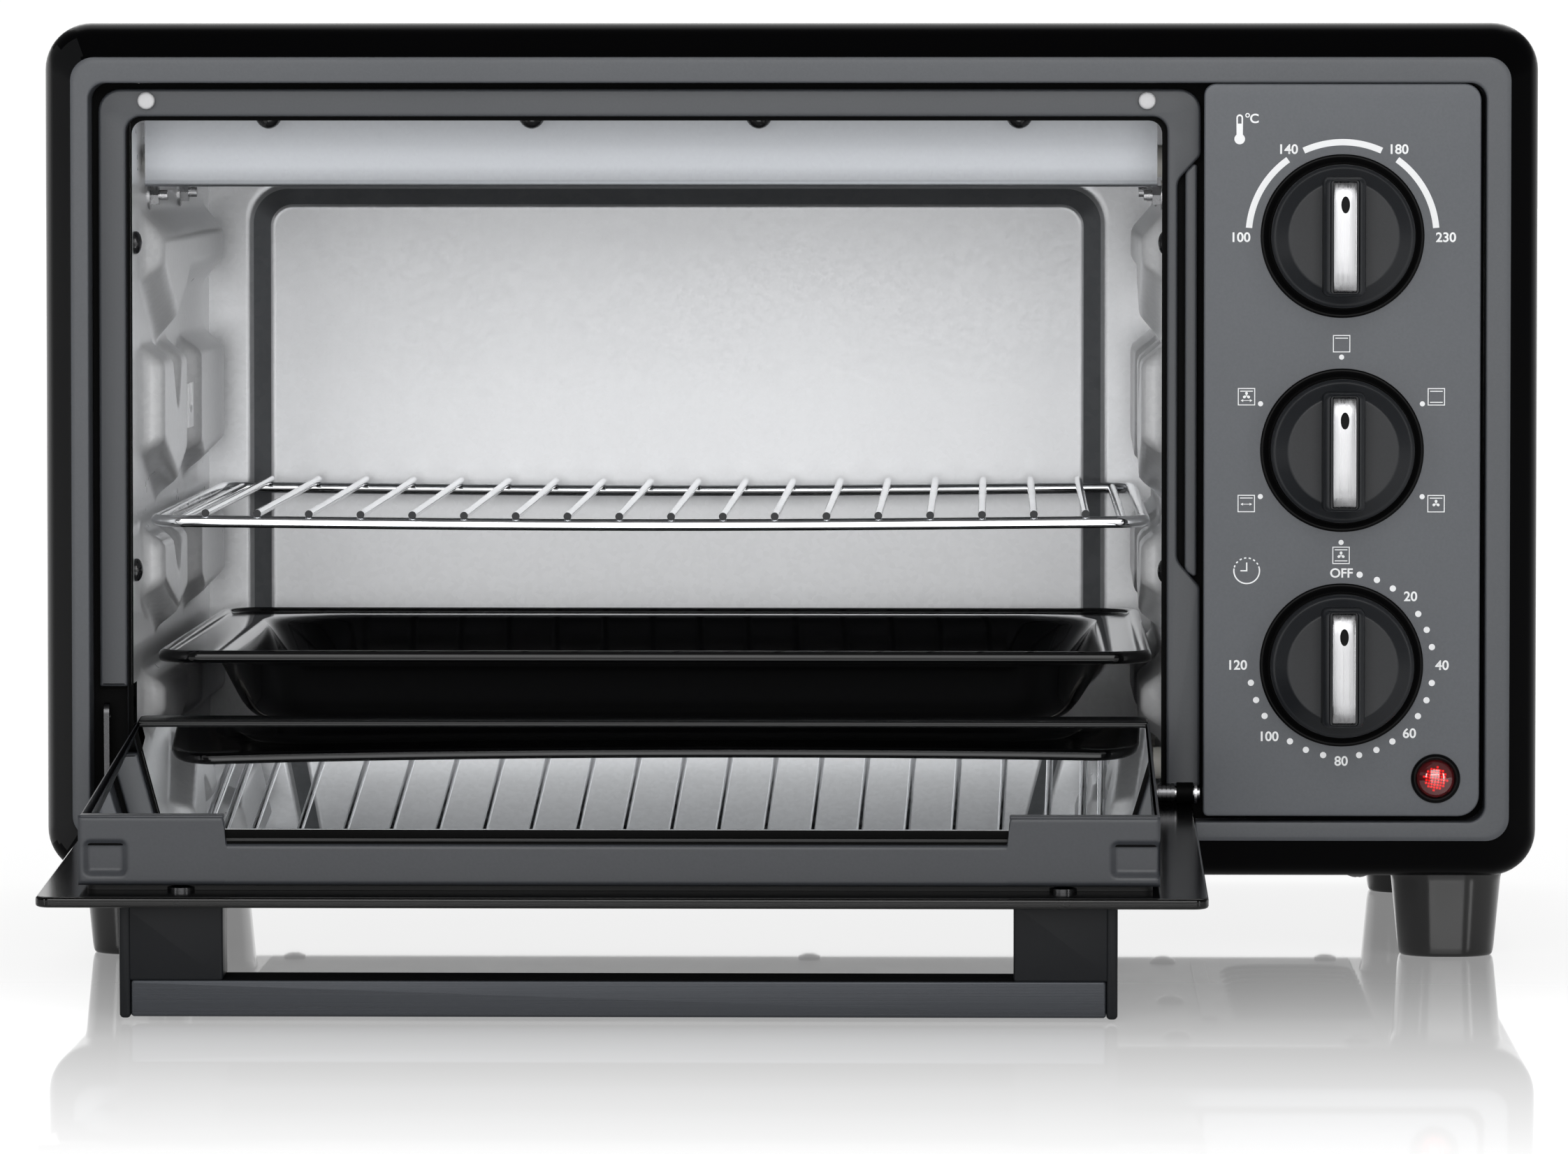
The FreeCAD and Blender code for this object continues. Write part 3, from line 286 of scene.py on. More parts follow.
# red lens: clear red plastic
m, n_, l_, b = new_mat("red_lens")
setv(b, "Base Color", (0.92, 0.10, 0.11, 1))
setv(b, "Transmission Weight", 1.0)
setv(b, "IOR", 1.30)
setv(b, "Coat Weight", 1.0)
setv(b, "Coat IOR", 1.9)
setv(b, "Coat Roughness", 0.06)
no = n_.new("ShaderNodeTexNoise")
no.inputs["Scale"].default_value = 400.0
mr = n_.new("ShaderNodeMapRange")
mr.inputs["To Min"].default_value = 0.03
mr.inputs["To Max"].default_value = 0.09
l_.new(no.outputs["Fac"], mr.inputs["Value"])
l_.new(mr.outputs["Result"], b.inputs["Roughness"])
paint("lens_core", (0.95, 0.05, 0.05), 0.25, grain=500, bump=0.05)
setv(mats["lens_core"].node_tree.nodes["Principled BSDF"], "Emission Color", (1.0, 0.025, 0.02, 1))
setv(mats["lens_core"].node_tree.nodes["Principled BSDF"], "Emission Strength", 0.75)
paint("lens_cup", (0.16, 0.004, 0.006), 0.3, grain=500, bump=0.05)

slot_of = {s["node"]: s["material_slot"] for s in frame["record"]["subparts"]}
# hinge brackets take the flat shade black, painted shade in their slots; the bottom panel takes the darkened underside
# sheet, painted shade under the case; the spit holder takes the side walls' lightened sheet, painted light
look_of = {"handle_screws": "dark_steel", "hinge_spring_right": "spring_steel", "hinge_lever_left": "dark_steel",
           "spit_holder": "aluminised_wall", "bottom_panel": "bottom_sheet", "hinge_bracket_left": "dark_slot",
           "hinge_bracket_right": "dark_slot"}
for name, ob in nodes.items():
    mat = mats[look_of.get(name, slot_of[name])]
    ob.data.materials.clear()
    ob.data.materials.append(mat)


# ---------------------------------------------------------------- meshes
def finish_obj(ob, body, mat, sharp=32.0, rep=()):
    me = ob.data
    if mat is not None:
        me.materials.clear()
        me.materials.append(mats[mat] if isinstance(mat, str) else mat)
    for p in me.polygons:
        p.use_smooth = True
    if sharp:
        me.set_sharp_from_angle(angle=math.radians(sharp))
    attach(ob, body)
    if rep:
        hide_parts(*rep)
    return ob


def mesh(name, verts, faces, body, mat, sharp=32.0, rep=()):
    me = bpy.data.meshes.new(name)
    me.from_pydata([tuple(v) for v in verts], [], faces)
    bm = bmesh.new()
    bm.from_mesh(me)
    bmesh.ops.remove_doubles(bm, verts=bm.verts, dist=1e-7)
    bmesh.ops.recalc_face_normals(bm, faces=bm.faces)
    bm.to_mesh(me)
    bm.free()
    me.update()
    ob = bpy.data.objects.new(name, me)
    bpy.context.scene.collection.objects.link(ob)
    return finish_obj(ob, body, mat, sharp, rep)


def rr_pts(x0, x1, z0, z1, r, seg=8):
    """Points round a rounded rectangle, from the bottom left corner, seg steps a corner."""
    bl, br, tr, tl = r if isinstance(r, (tuple, list)) else (r, r, r, r)
    out = []
    for cx, cz, rad, a0 in ((x0 + bl, z0 + bl, bl, 180), (x1 - br, z0 + br, br, 270),
                            (x1 - tr, z1 - tr, tr, 0), (x0 + tl, z1 - tl, tl, 90)):
        for i in range(seg + 1):
            a = math.radians(a0 + 90.0 * i / seg)
            out.append((cx + rad * math.cos(a), cz + rad * math.sin(a)))
    return out


def smooth_keys(keys, radii, seg=4):
    """Rounds the corners of a run of sections; a key is (x0, x1, z0, z1, r, depth)."""
    out = [keys[0]]
    n = len(keys)
    for i in range(1, n - 1):
        f = radii[i]
        if not f:
            out.append(keys[i])
            continue
        k, a, b = keys[i], keys[i - 1], keys[i + 1]

        def dist(u, v):
            return max(math.hypot(u[0] - v[0], u[5] - v[5]), math.hypot(u[2] - v[2], u[5] - v[5]),
                       math.hypot(u[3] - v[3], u[5] - v[5]), 1e-6)
        ta, tb = min(f / dist(k, a), 0.48), min(f / dist(k, b), 0.48)
        pa = [k[j] + (a[j] - k[j]) * ta for j in range(6)]
        pb = [k[j] + (b[j] - k[j]) * tb for j in range(6)]
        for s in range(seg + 1):
            t = s / seg
            out.append([(1 - t) ** 2 * pa[j] + 2 * t * (1 - t) * k[j] + t * t * pb[j] for j in range(6)])
    out.append(keys[-1])
    return out


def loft(name, keys, radii, mapper, body, mat, caps=(False, False), close=False, seg=8,
         fseg=4, sharp=32.0, rep=()):
    secs = smooth_keys(keys, radii, fseg)
    verts, faces = [], []
    m_ = 4 * (seg + 1)
    for k in secs:
        for a, c in rr_pts(k[0], k[1], k[2], k[3], k[4], seg):
            verts.append(mapper(a, c, k[5]))
    ns = len(secs)
    for i in range(ns if close else ns - 1):
        j = (i + 1) % ns
        for q in range(m_):
            r_ = (q + 1) % m_
            faces.append((i * m_ + q, i * m_ + r_, j * m_ + r_, j * m_ + q))
    if caps[0]:
        faces.append(tuple(range(m_ - 1, -1, -1)))
    if caps[1]:
        faces.append(tuple((ns - 1) * m_ + q for q in range(m_)))
    return mesh(name, verts, faces, body, mat, sharp, rep)


def round_box(name, x0, x1, a0, a1, c0, c1, r, edge, mapper, body, mat, rep=(), seg=6):
    """Box with rounded corners of radius r round its outline and rounded rims of radius edge."""
    e = edge
    k = [(x0 + e, x1 - e, a0 + e, a1 - e, max(r - e, 0.05), c0), (x0, x1, a0, a1, r, c0 + e),
         (x0, x1, a0, a1, r, c1 - e), (x0 + e, x1 - e, a0 + e, a1 - e, max(r - e, 0.05), c1)]
    keys = []

    def arc(k0, k1, first):
        for i in range(4):
            t = i / 3.0
            s = math.sin(t * math.pi / 2) if first else 1 - math.cos(t * math.pi / 2)
            c = 1 - math.cos(t * math.pi / 2) if first else math.sin(t * math.pi / 2)
            keys.append([k0[j] + (k1[j] - k0[j]) * (s if j < 5 else c) for j in range(6)])
    arc(k[0], k[1], True)
    arc(k[2], k[3], False)
    return loft(name, keys, [0] * len(keys), mapper, body, mat, (True, True), False, seg, 4,
                32.0, rep)


def lathe(name, profile, centre, axis, body, mat, seg=64, sharp=32.0, rep=(), close=False):
    """profile is (radius, distance along axis); centre and axis in metres."""
    ax = Vector(axis).normalized()
    u = ax.orthogonal().normalized()
    v = ax.cross(u)
    c = Vector(centre)
    verts, faces = [], []
    rings = []
    for r, d in profile:
        if r < 1e-6:
            rings.append([len(verts)])
            verts.append(c + ax * (d / 1000.0))
        else:
            rings.append(list(range(len(verts), len(verts) + seg)))
            for i in range(seg):
                a = 2 * math.pi * i / seg
                verts.append(c + ax * (d / 1000.0) + (u * math.cos(a) + v * math.sin(a)) * (r / 1000.0))
    pairs = list(zip(rings, rings[1:])) + ([(rings[-1], rings[0])] if close else [])
    for a, b in pairs:
        if len(a) == 1 and len(b) == 1:
            continue
        for i in range(seg):
            j = (i + 1) % seg
            if len(a) == 1:
                faces.append((a[0], b[i], b[j]))
            elif len(b) == 1:
                faces.append((a[i], a[j], b[0]))
            else:
                faces.append((a[i], a[j], b[j], b[i]))
    return mesh(name, verts, faces, body, mat, sharp, rep)


def round_profile(pts, radii, seg=4):
    """Rounds the corners of a 2D polyline of (radius, distance)."""
    out = [pts[0]]
    for i in range(1, len(pts) - 1):
        f = radii[i]
        k, a, b = pts[i], pts[i - 1], pts[i + 1]
        if not f:
            out.append(k)
            continue
        la, lb = math.dist(k, a), math.dist(k, b)
        ta, tb = min(f / la, 0.48), min(f / lb, 0.48)
        pa = [k[j] + (a[j] - k[j]) * ta for j in (0, 1)]
        pb = [k[j] + (b[j] - k[j]) * tb for j in (0, 1)]
        for s in range(seg + 1):
            t = s / seg
            out.append(tuple((1 - t) ** 2 * pa[j] + 2 * t * (1 - t) * k[j] + t * t * pb[j] for j in (0, 1)))
    out.append(pts[-1])
    return out


def round_poly(pts, radii, seg=6):
    """Closed 2D outline with rounded corners, as a list of points."""
    out = []
    n = len(pts)
    for i in range(n):
        k, a, b = pts[i], pts[i - 1], pts[(i + 1) % n]
        f = radii[i] if isinstance(radii, (list, tuple)) else radii
        if not f:
            out.append(tuple(k))
            continue
        u = Vector((a[0] - k[0], a[1] - k[1])).normalized()
        v = Vector((b[0] - k[0], b[1] - k[1])).normalized()
        half = 0.5 * u.angle(v)
        d = min(f / math.tan(half), 0.49 * math.dist(k, a), 0.49 * math.dist(k, b))
        r = d * math.tan(half)
        mid = (u + v).normalized()
        c = Vector(k) + mid * (r / math.sin(half))
        p0, p1 = Vector(k) + u * d, Vector(k) + v * d
        a0 = math.atan2(p0.y - c.y, p0.x - c.x)
        a1 = math.atan2(p1.y - c.y, p1.x - c.x)
        da = (a1 - a0 + math.pi) % (2 * math.pi) - math.pi
        for s in range(seg + 1):
            t = a0 + da * s / seg
            out.append((c.x + r * math.cos(t), c.y + r * math.sin(t)))
    return out


def plate(name, outline, holes, c0, c1, bevel, mapper, body, mat, rep=(), sharp=32.0, bres=2):
    """Flat plate between depths c0 and c1 with any outline and holes and rounded rims."""
    cu = bpy.data.curves.new(name + "_c", "CURVE")
    cu.dimensions = "2D"
    cu.fill_mode = "BOTH"
    for pts in [outline] + list(holes):
        sp = cu.splines.new("POLY")
        sp.points.add(len(pts) - 1)
        for i, (a, b) in enumerate(pts):
            sp.points[i].co = (a, b, 0, 1)
        sp.use_cyclic_u = True
    th = abs(c1 - c0)
    cu.extrude = max(th / 2 - bevel, 0.0)
    cu.bevel_depth = bevel
    cu.bevel_resolution = bres
    cu.offset = -bevel
    tmp = bpy.data.objects.new(name + "_c", cu)
    bpy.context.scene.collection.objects.link(tmp)
    bpy.context.view_layer.update()
    me = bpy.data.meshes.new_from_object(tmp)
    bpy.data.objects.remove(tmp)
    bpy.data.curves.remove(cu)
    mid = 0.5 * (c0 + c1)
    for v in me.vertices:
        v.co = mapper(v.co.x, v.co.y, mid + v.co.z)
    bm = bmesh.new()
    bm.from_mesh(me)
    bmesh.ops.remove_doubles(bm, verts=bm.verts, dist=1e-7)
    bmesh.ops.recalc_face_normals(bm, faces=bm.faces)
    bm.to_mesh(me)
    bm.free()
    me.name = name
    ob = bpy.data.objects.new(name, me)
    bpy.context.scene.collection.objects.link(ob)
    return finish_obj(ob, body, mat, sharp, rep)


def tube(name, pts, r, body, mat, slot=None, cyclic=False, rep=(), seg=14, res=3, caps=True):
    """Round bar along points in metres, joined into one mesh."""
    verts, faces = [], []
    n = len(pts)
    pts = [Vector(p) for p in pts]
    prev = None
    rings = []
    for i, p in enumerate(pts):
        if cyclic:
            t = (pts[(i + 1) % n] - pts[i - 1]).normalized()
        else:
            t = (pts[min(i + 1, n - 1)] - pts[max(i - 1, 0)]).normalized()
        u = t.orthogonal().normalized() if prev is None else (prev - t * prev.dot(t)).normalized()
        prev = u
        v = t.cross(u)
        rings.append(range(len(verts), len(verts) + seg))
        for k in range(seg):
            a = 2 * math.pi * k / seg
            verts.append(p + (u * math.cos(a) + v * math.sin(a)) * (r / 1000.0))
    for i in range(n if cyclic else n - 1):
        a, b = rings[i], rings[(i + 1) % n]
        off = 0
        if cyclic and i == n - 1:
            off = min(range(seg), key=lambda o: (verts[a[0]] - verts[b[o]]).length)
        for k in range(seg):
            j = (k + 1) % seg
            faces.append((a[k], a[j], b[(j + off) % seg], b[(k + off) % seg]))
    if caps and not cyclic:
        faces.append(tuple(rings[0][::-1]))
        faces.append(tuple(rings[-1]))
    return verts, faces


def merge(parts):
    verts, faces = [], []
    for v, f in parts:
        o = len(verts)
        verts += list(v)
        faces += [tuple(i + o for i in q) for q in f]
    return verts, faces


# ------------------------------------------------------------ front frame
loft("bezel_shell",
     [(-225, 225, 26.1, 283.4, 14.0, 20.1), (-225, 225, 26.1, 283.4, 14.0, 8.6),
      (-216.2, 216.2, 37.8, 272.8, 6.8, 0.0), (-211, 209, 43.2, 265.3, 5.0, 0.0),
      (-211, 209, 43.2, 265.3, 5.0, 20.0)],
     [0, 5.0, 1.6, 0.9, 0], PX, "case", "bezel_paint", seg=12, fseg=8,
     sharp=50, rep=["front_frame"])
# the rolled outer side of the frame is drawn near black as painted shade, and its left side in the lighter case paint
# as painted light; the flat face keeps the satin bezel paint
me_ = bpy.data.objects["bezel_shell"].data
me_.materials.append(mats["flange_painted_shade"])
me_.materials.append(mats["case_paint"])
for p_ in me_.polygons:
    c_ = p_.center * 1000.0
    if c_.y - YF > 0.35 and (c_.x < -213.0 or c_.x > 211.5 or c_.z < 41.0 or c_.z > 268.0):
        p_.material_index = 2 if c_.x < -213.0 and 36.0 < c_.z < 276.0 else 1
# black sheet behind the gaps round the door surround and the panel: painted shade in the gaps
loft("bezel_liner", [(-210.9, 208.9, 43.3, 265.2, 5.0, 13.0), (-199.0, 112.0, 47.0, 254.0, 4.0, 13.0)],
     [0, 0], PX, "case", "dark_slot", sharp=0)

ring_outline = round_poly(
    [(-208.8, 83.0), (-208.8, 263.5), (123.6, 263.5), (123.6, 243.5), (116.6, 236.0),
     (116.6, 121.5), (123.6, 113.5), (123.6, 53.2), (113.5, 53.2), (113.5, 255.2),
     (-200.5, 255.2), (-200.5, 83.0)],
    [0.6, 6.8, 6.8, 2.5, 5.0, 5.0, 3.0, 0.8, 0.8, 4.5, 4.5, 0.6], 8)
plate("door_surround_face", ring_outline[::-1], [], 9.0, 12.0, 0.9, PX, "case", "surround_paint",
      rep=["door_surround"], bres=3)
strip = round_poly([(118.9, 118.6), (118.9, 238.4), (122.5, 242.0), (122.5, 116.0)], [3.0, 3.0, 0.8, 0.8], 6)
plate("door_surround_strip", strip, [], 9.0, 12.0, 0.7, PX, "case", "surround_paint",
      bres=3)
# flange turned into the oven along the mouth
mouth = round_poly([(-200.5, 50.0), (-200.5, 255.2), (113.5, 255.2), (113.5, 50.0)], [0, 4.5, 4.5, 0], 8)
v_, f_ = [], []
for a, c in mouth:
    v_ += [P(a, 9.6, c), P(a, 12.5, c), P(a + (0.5 if a < 0 else -0.5), 20.0, min(c, 254.7))]
for i in range(len(mouth) - 1):
    for k in (0, 1):
        f_.append((3 * i + k, 3 * i + k + 1, 3 * i + k + 4, 3 * i + k + 3))
mesh("door_surround_flange", v_, f_, "case", "surround_paint")
for i, x in enumerate((-194.2, 107.4)):
    lathe("door_bumper_%d" % i, round_profile([(0, 2.2), (2.1, 2.2), (2.6, 1.6), (2.6, 0.0)], [0, 0.8, 0.4, 0]),
          P(x, 9.0, 260.0), (0, -1, 0), "case", "silicone",
          rep=["door_bumpers"] if i == 0 else ())

# ---------------------------------------------------------- control panel
KX, KZ = 165.9, (219.4, 155.1, 90.5)
panel_outline = round_poly([(124.4, 44.9), (207.4, 44.9), (207.4, 265.1), (124.4, 265.1)],
                           [1.6, 6.5, 5.0, 3.5], 8)
plate("panel_face", panel_outline, [], 0.0, 3.0, 0.6, PX, "case", "panel_paint",
      rep=["control_panel"], bres=4)
for nm, z in zip(("temperature", "mode", "timer"), KZ):
    lathe("dial_ring_" + nm, round_profile(
        [(21.7, 0.6), (21.7, 0.25), (22.3, 0.35), (24.0, 0.9), (24.55, 0.5), (24.6, -0.2)],
        [0, 0.1, 0.3, 0.5, 0.2, 0]),
        P(KX, 0, z), (0, -1, 0), "case", "knob_ring", seg=96)
    # black disc in the well inside each dial ring: painted shade under the knob
    lathe("dial_well_" + nm, [(0, 0.3), (22.0, 0.3)], P(KX, 0, z), (0, -1, 0), "case",
          "dark_slot", seg=64, sharp=0)


def printed(name, pts_list, y=-0.05):
    """Printed marking: flat shapes lying on the panel face."""
    cu = bpy.data.curves.new(name + "_c", "CURVE")
    cu.dimensions = "2D"
    cu.fill_mode = "BOTH"
    for pts in pts_list:
        sp = cu.splines.new("POLY")
        sp.points.add(len(pts) - 1)
        for i, (a, b) in enumerate(pts):
            sp.points[i].co = (a, b, 0, 1)
        sp.use_cyclic_u = True
    cu.extrude = 0.02
    tmp = bpy.data.objects.new(name + "_c", cu)
    bpy.context.scene.collection.objects.link(tmp)
    bpy.context.view_layer.update()
    me = bpy.data.meshes.new_from_object(tmp)
    bpy.data.objects.remove(tmp)
    bpy.data.curves.remove(cu)
    for v in me.vertices:
        v.co = P(v.co.x, y + v.co.z, v.co.y)
    me.name = name
    ob = bpy.data.objects.new(name, me)
    bpy.context.scene.collection.objects.link(ob)
    return finish_obj(ob, "case", "mark_white", 0)


def lettering(name, text, x, z, h, y=-0.05):
    cu = bpy.data.curves.new(name + "_c", "FONT")
    cu.body = text
    cu.size = h / 0.70
    cu.align_x = "CENTER"
    cu.extrude = 0.02
    cu.space_character = 1.0
    cu.offset = 0.030 * h
    tmp = bpy.data.objects.new(name + "_c", cu)
    bpy.context.scene.collection.objects.link(tmp)
    bpy.context.view_layer.update()
    me = bpy.data.meshes.new_from_object(tmp)
    bpy.data.objects.remove(tmp)
    bpy.data.curves.remove(cu)
    xs = [v.co.x for v in me.vertices]
    mid = 0.5 * (min(xs) + max(xs))
    for v in me.vertices:
        v.co = P(x + (v.co.x - mid) * 1.02, y + v.co.z, z - h / 2 + v.co.y)
    me.name = name
    ob = bpy.data.objects.new(name, me)
    bpy.context.scene.collection.objects.link(ob)
    return finish_obj(ob, "case", "mark_white", 0)


def disc_pts(x, z, r, n=20, a0=0.0, a1=360.0):
    return [(x + r * math.cos(math.radians(a0 + (a1 - a0) * i / n)),
             z + r * math.sin(math.radians(a0 + (a1 - a0) * i / n))) for i in range(n)]


def arc_band(x, z, r0, r1, a0, a1, n=24):
    """Band between two radii; angles in degrees clockwise from straight up."""
    def at(r, a):
        a = math.radians(a)
        return (x + r * math.sin(a), z + r * math.cos(a))
    return [at(r0, a0 + (a1 - a0) * i / n) for i in range(n + 1)] + \
           [at(r1, a1 + (a0 - a1) * i / n) for i in range(n + 1)]


def bar(x0, x1, z0, z1):
    return [(x0, z0), (x1, z0), (x1, z1), (x0, z1)]


zt = KZ[0]
printed("scale_temperature", [arc_band(KX, zt, 27.2, 29.1, -24.5, 24.5),
                              arc_band(KX, zt, 27.2, 29.1, 35.5, 85.0),
                              arc_band(KX, zt, 27.2, 29.1, -85.0, -35.5)])
for txt, dx, dz in (("140", -16.1, 26.1), ("180", 17.0, 26.1), ("100", -30.3, -0.3), ("230", 31.0, -0.3)):
    lettering("num_t" + txt, txt, KX + dx, zt + dz, 2.8)
tx, tz = KX - 30.9, zt + 32.2
th = [(tx + 1.6 * math.sin(math.radians(a)), tz - 3.1 + 1.6 * math.cos(math.radians(a))) for a in range(36, 325, 16)]
th += [(tx - 1.0, tz + 3.2)] + [(tx - 1.0 * math.cos(math.radians(a)), tz + 3.3 + 1.0 * math.sin(math.radians(a)))
                               for a in (20, 50, 80, 100, 130, 160)] + [(tx + 1.0, tz + 3.2)]
printed("icon_thermometer", [th, round_poly([(tx - 0.55, tz + 1.5), (tx + 0.55, tz + 1.5), (tx + 0.55, tz + 3.75),
                                             (tx - 0.55, tz + 3.75)], [0, 0, 0.5, 0.5], 5)])
printed("icon_degree", [disc_pts(KX - 28.55, zt + 36.2, 0.7, 18), disc_pts(KX - 28.55, zt + 36.2, 0.38, 18)])
lettering("num_c", "C", KX - 26.5, zt + 35.3, 2.7)


def mode_icon(tag, x, z, kinds):
    h, w = 2.6, 0.27
    shapes = [[(x - h, z - h), (x + h, z - h), (x + h, z + h), (x - h, z + h)],
              [(x - h + w, z - h + w), (x + h - w, z - h + w), (x + h - w, z + h - w), (x - h + w, z + h - w)]]
    printed("icon_%s_box" % tag, shapes)
    parts_ = []
    if "t" in kinds:
        parts_.append(bar(x - 1.9, x + 1.9, z + 1.52, z + 1.80))
    if "b" in kinds:
        parts_.append(bar(x - 1.9, x + 1.9, z - 1.80, z - 1.52))
    if "f" in kinds:
        for a in (0, 120, 240):
            a = math.radians(a)
            c, s = math.cos(a), math.sin(a)
            q = [(0.0, 0.0), (-0.42, 0.55), (-0.35, 1.05), (0.0, 1.2), (0.35, 1.05), (0.42, 0.55)]
            zz = z + (0.3 if "a" in kinds else 0.0)
            parts_.append([(x + u * c - v * s, zz + u * s + v * c) for u, v in q])
    if "a" in kinds:
        zz = z - (1.15 if "f" in kinds else 0.2)
        parts_.append(bar(x - 1.1, x + 1.1, zz - 0.09, zz + 0.09))
        for sgn in (-1, 1):
            parts_.append([(x + sgn * 1.75, zz), (x + sgn * 1.0, zz + 0.42), (x + sgn * 1.0, zz - 0.42)][::sgn])
    for i, p_ in enumerate(parts_):
        printed("icon_%s_%d" % (tag, i), [p_])


def from_px(px, py):
    return 61 + (px - 1420) * 2900 / 13792.0, 257.5 - (py - 157) * 2900 / 13792.0


for tag, ip, dp, kinds in (("m0", (1918, 491.8), (1918, 511), "t"), ("m1", (2053.3, 567.6), (2033.4, 577.6), "tb"),
                           ("m2", (2053.3, 720.3), (2033.4, 710.3), "tf"), ("m3", (1918, 794.3), (1918, 775.8), "tbf"),
                           ("m4", (1782.5, 720.3), (1802.5, 710.3), "ta"), ("m5", (1782.5, 567.6), (1802.5, 577.6), "tfa")):
    x, z = from_px(*ip)
    mode_icon(tag, x, z, kinds)
    x, z = from_px(*dp)
    printed("dot_" + tag, [disc_pts(x, z, 0.78, 18)])

zt = KZ[2]
x, z = from_px(1918.7, 819.4)
lettering("num_off", "OFF", x, z, 2.7)
steps = {20: 4, 40: 8, 60: 12, 80: 16, 100: 20, 120: 24}
for i in range(1, 25):
    a = math.radians(11.25 * i)
    lab = [k for k, v in steps.items() if v == i]
    if lab:
        r = {20: 29.3, 40: 30.2, 60: 29.0, 80: 28.9, 100: 30.4, 120: 31.0}[lab[0]]
        lettering("num_m%d" % lab[0], str(lab[0]), KX + r * math.sin(a), zt + r * math.cos(a), 2.8)
    else:
        printed("dot_time_%d" % i, [disc_pts(KX + 27.7 * math.sin(a), zt + 27.7 * math.cos(a), 0.95, 18)])
x, z = from_px(1783.3, 816.5)
printed("icon_clock", [arc_band(x, z, 3.65, 4.05, 70, 280, 30)])
for i in range(7):
    a0 = 285 + i * 21
    printed("icon_clock_%d" % i, [arc_band(x, z, 3.65, 4.05, a0, a0 + 10, 4)])
printed("icon_clock_hands", [[(x - 1.9, z - 0.2), (x + 0.2, z - 0.2), (x + 0.2, z + 2.5), (x - 0.2, z + 2.5),
                              (x - 0.2, z + 0.2), (x - 1.9, z + 0.2)]])

# ------------------------------------------------------------------ knobs
for nm, z in zip(("temperature", "mode", "timer"), KZ):
    body = nm + "_control"
    c = P(KX, 0, z)
    rot = Matrix.Identity(4)
    lathe(nm + "_knob_skirt", round_profile(
        [(21.3, 0.45), (21.5, 2.5), (21.5, 8.6), (20.8, 9.3), (20.2, 9.5), (16.6, 12.6), (15.9, 12.6),
         (8.0, 12.45), (0.0, 12.4)],
        [0, 0.4, 0.7, 0.5, 0.5, 0.5, 0.3, 0, 0]),
        c, (0, -1, 0), body, "knob_plastic", seg=128, sharp=60, rep=[nm + "_knob"])
    gw, gl = 12.4, 34.0
    # grip: low shoulders each side, a channel and the raised blade that holds the insert
    secs = []
    for hw, hl, d, r in ((6.6, 17.4, 11.6, 2.2), (6.35, 17.15, 14.0, 2.0), (6.25, 17.05, 20.6, 2.0),
                         (5.9, 16.9, 22.3, 1.8), (5.2, 16.6, 23.1, 1.6), (4.5, 16.4, 23.3, 1.2),
                         (4.25, 16.3, 22.9, 1.0), (4.1, 16.25, 22.2, 0.9)):
        secs.append((KX - hw, KX + hw, z - hl - 0.6, z + hl + 0.6, r, -d))
    loft(nm + "_knob_grip", secs, [0] * len(secs), PX, body, "knob_plastic", (False, True), seg=6,
         sharp=35)
    # brushed insert, bent down over both ends
    hw = 3.5
    prof = [(15.9, 18.6), (15.9, 22.4), (15.55, 23.3), (14.9, 23.9), (12.6, 24.75), (10.0, 24.95), (5.0, 25.0),
            (-5.0, 25.0), (-10.0, 24.95), (-12.6, 24.75), (-14.9, 23.9), (-15.55, 23.3), (-15.9, 22.4), (-15.9, 18.6)]
    v_, f_ = [], []
    for s_, d in prof:
        for u, e in ((-hw, 0.55), (-hw + 0.12, 0.16), (-hw + 0.45, 0.0), (hw - 0.45, 0.0), (hw - 0.12, 0.16), (hw, 0.55)):
            k = 1.0 if abs(s_) < 15 else 0.4
            v_.append(P(KX + u, -(d - e * k), z + 1.045 * s_ * (1 - 0.01 * e)))
        for u in (hw, -hw):
            v_.append(P(KX + u, -(d - 2.6), z + 1.045 * s_))
    n_ = 8
    for i in range(len(prof) - 1):
        for k in range(n_):
            f_.append((i * n_ + k, i * n_ + (k + 1) % n_, (i + 1) * n_ + (k + 1) % n_, (i + 1) * n_ + k))
    f_.append(tuple(range(n_)))
    f_.append(tuple((len(prof) - 1) * n_ + k for k in range(n_)))
    mesh(nm + "_insert", v_, f_, body, "knob_insert", sharp=40,
         rep=[nm + "_knob_insert"])
    # oval pointer recess near the top of the insert
    ring_, in_ = [], []
    N = 28
    v_, f_ = [], []
    for rx, rz, d in ((1.30, 2.55, 25.06), (1.08, 2.30, 25.10), (0.86, 2.05, 25.02)):
        for i in range(N):
            a = 2 * math.pi * i / N
            v_.append(P(KX + rx * math.cos(a), -d, z + 9.6 + rz * math.sin(a)))
    for k in (0, 1):
        for i in range(N):
            j = (i + 1) % N
            f_.append((k * N + i, k * N + j, (k + 1) * N + j, (k + 1) * N + i))
    mesh(nm + "_pointer_rim", v_, f_, body, "knob_ring")
    v_ = [P(KX + 0.86 * math.cos(2 * math.pi * i / N), -25.02, z + 9.6 + 2.05 * math.sin(2 * math.pi * i / N))
          for i in range(N)]
    mesh(nm + "_pointer", v_, [tuple(range(N))], body, "knob_ring", sharp=0)

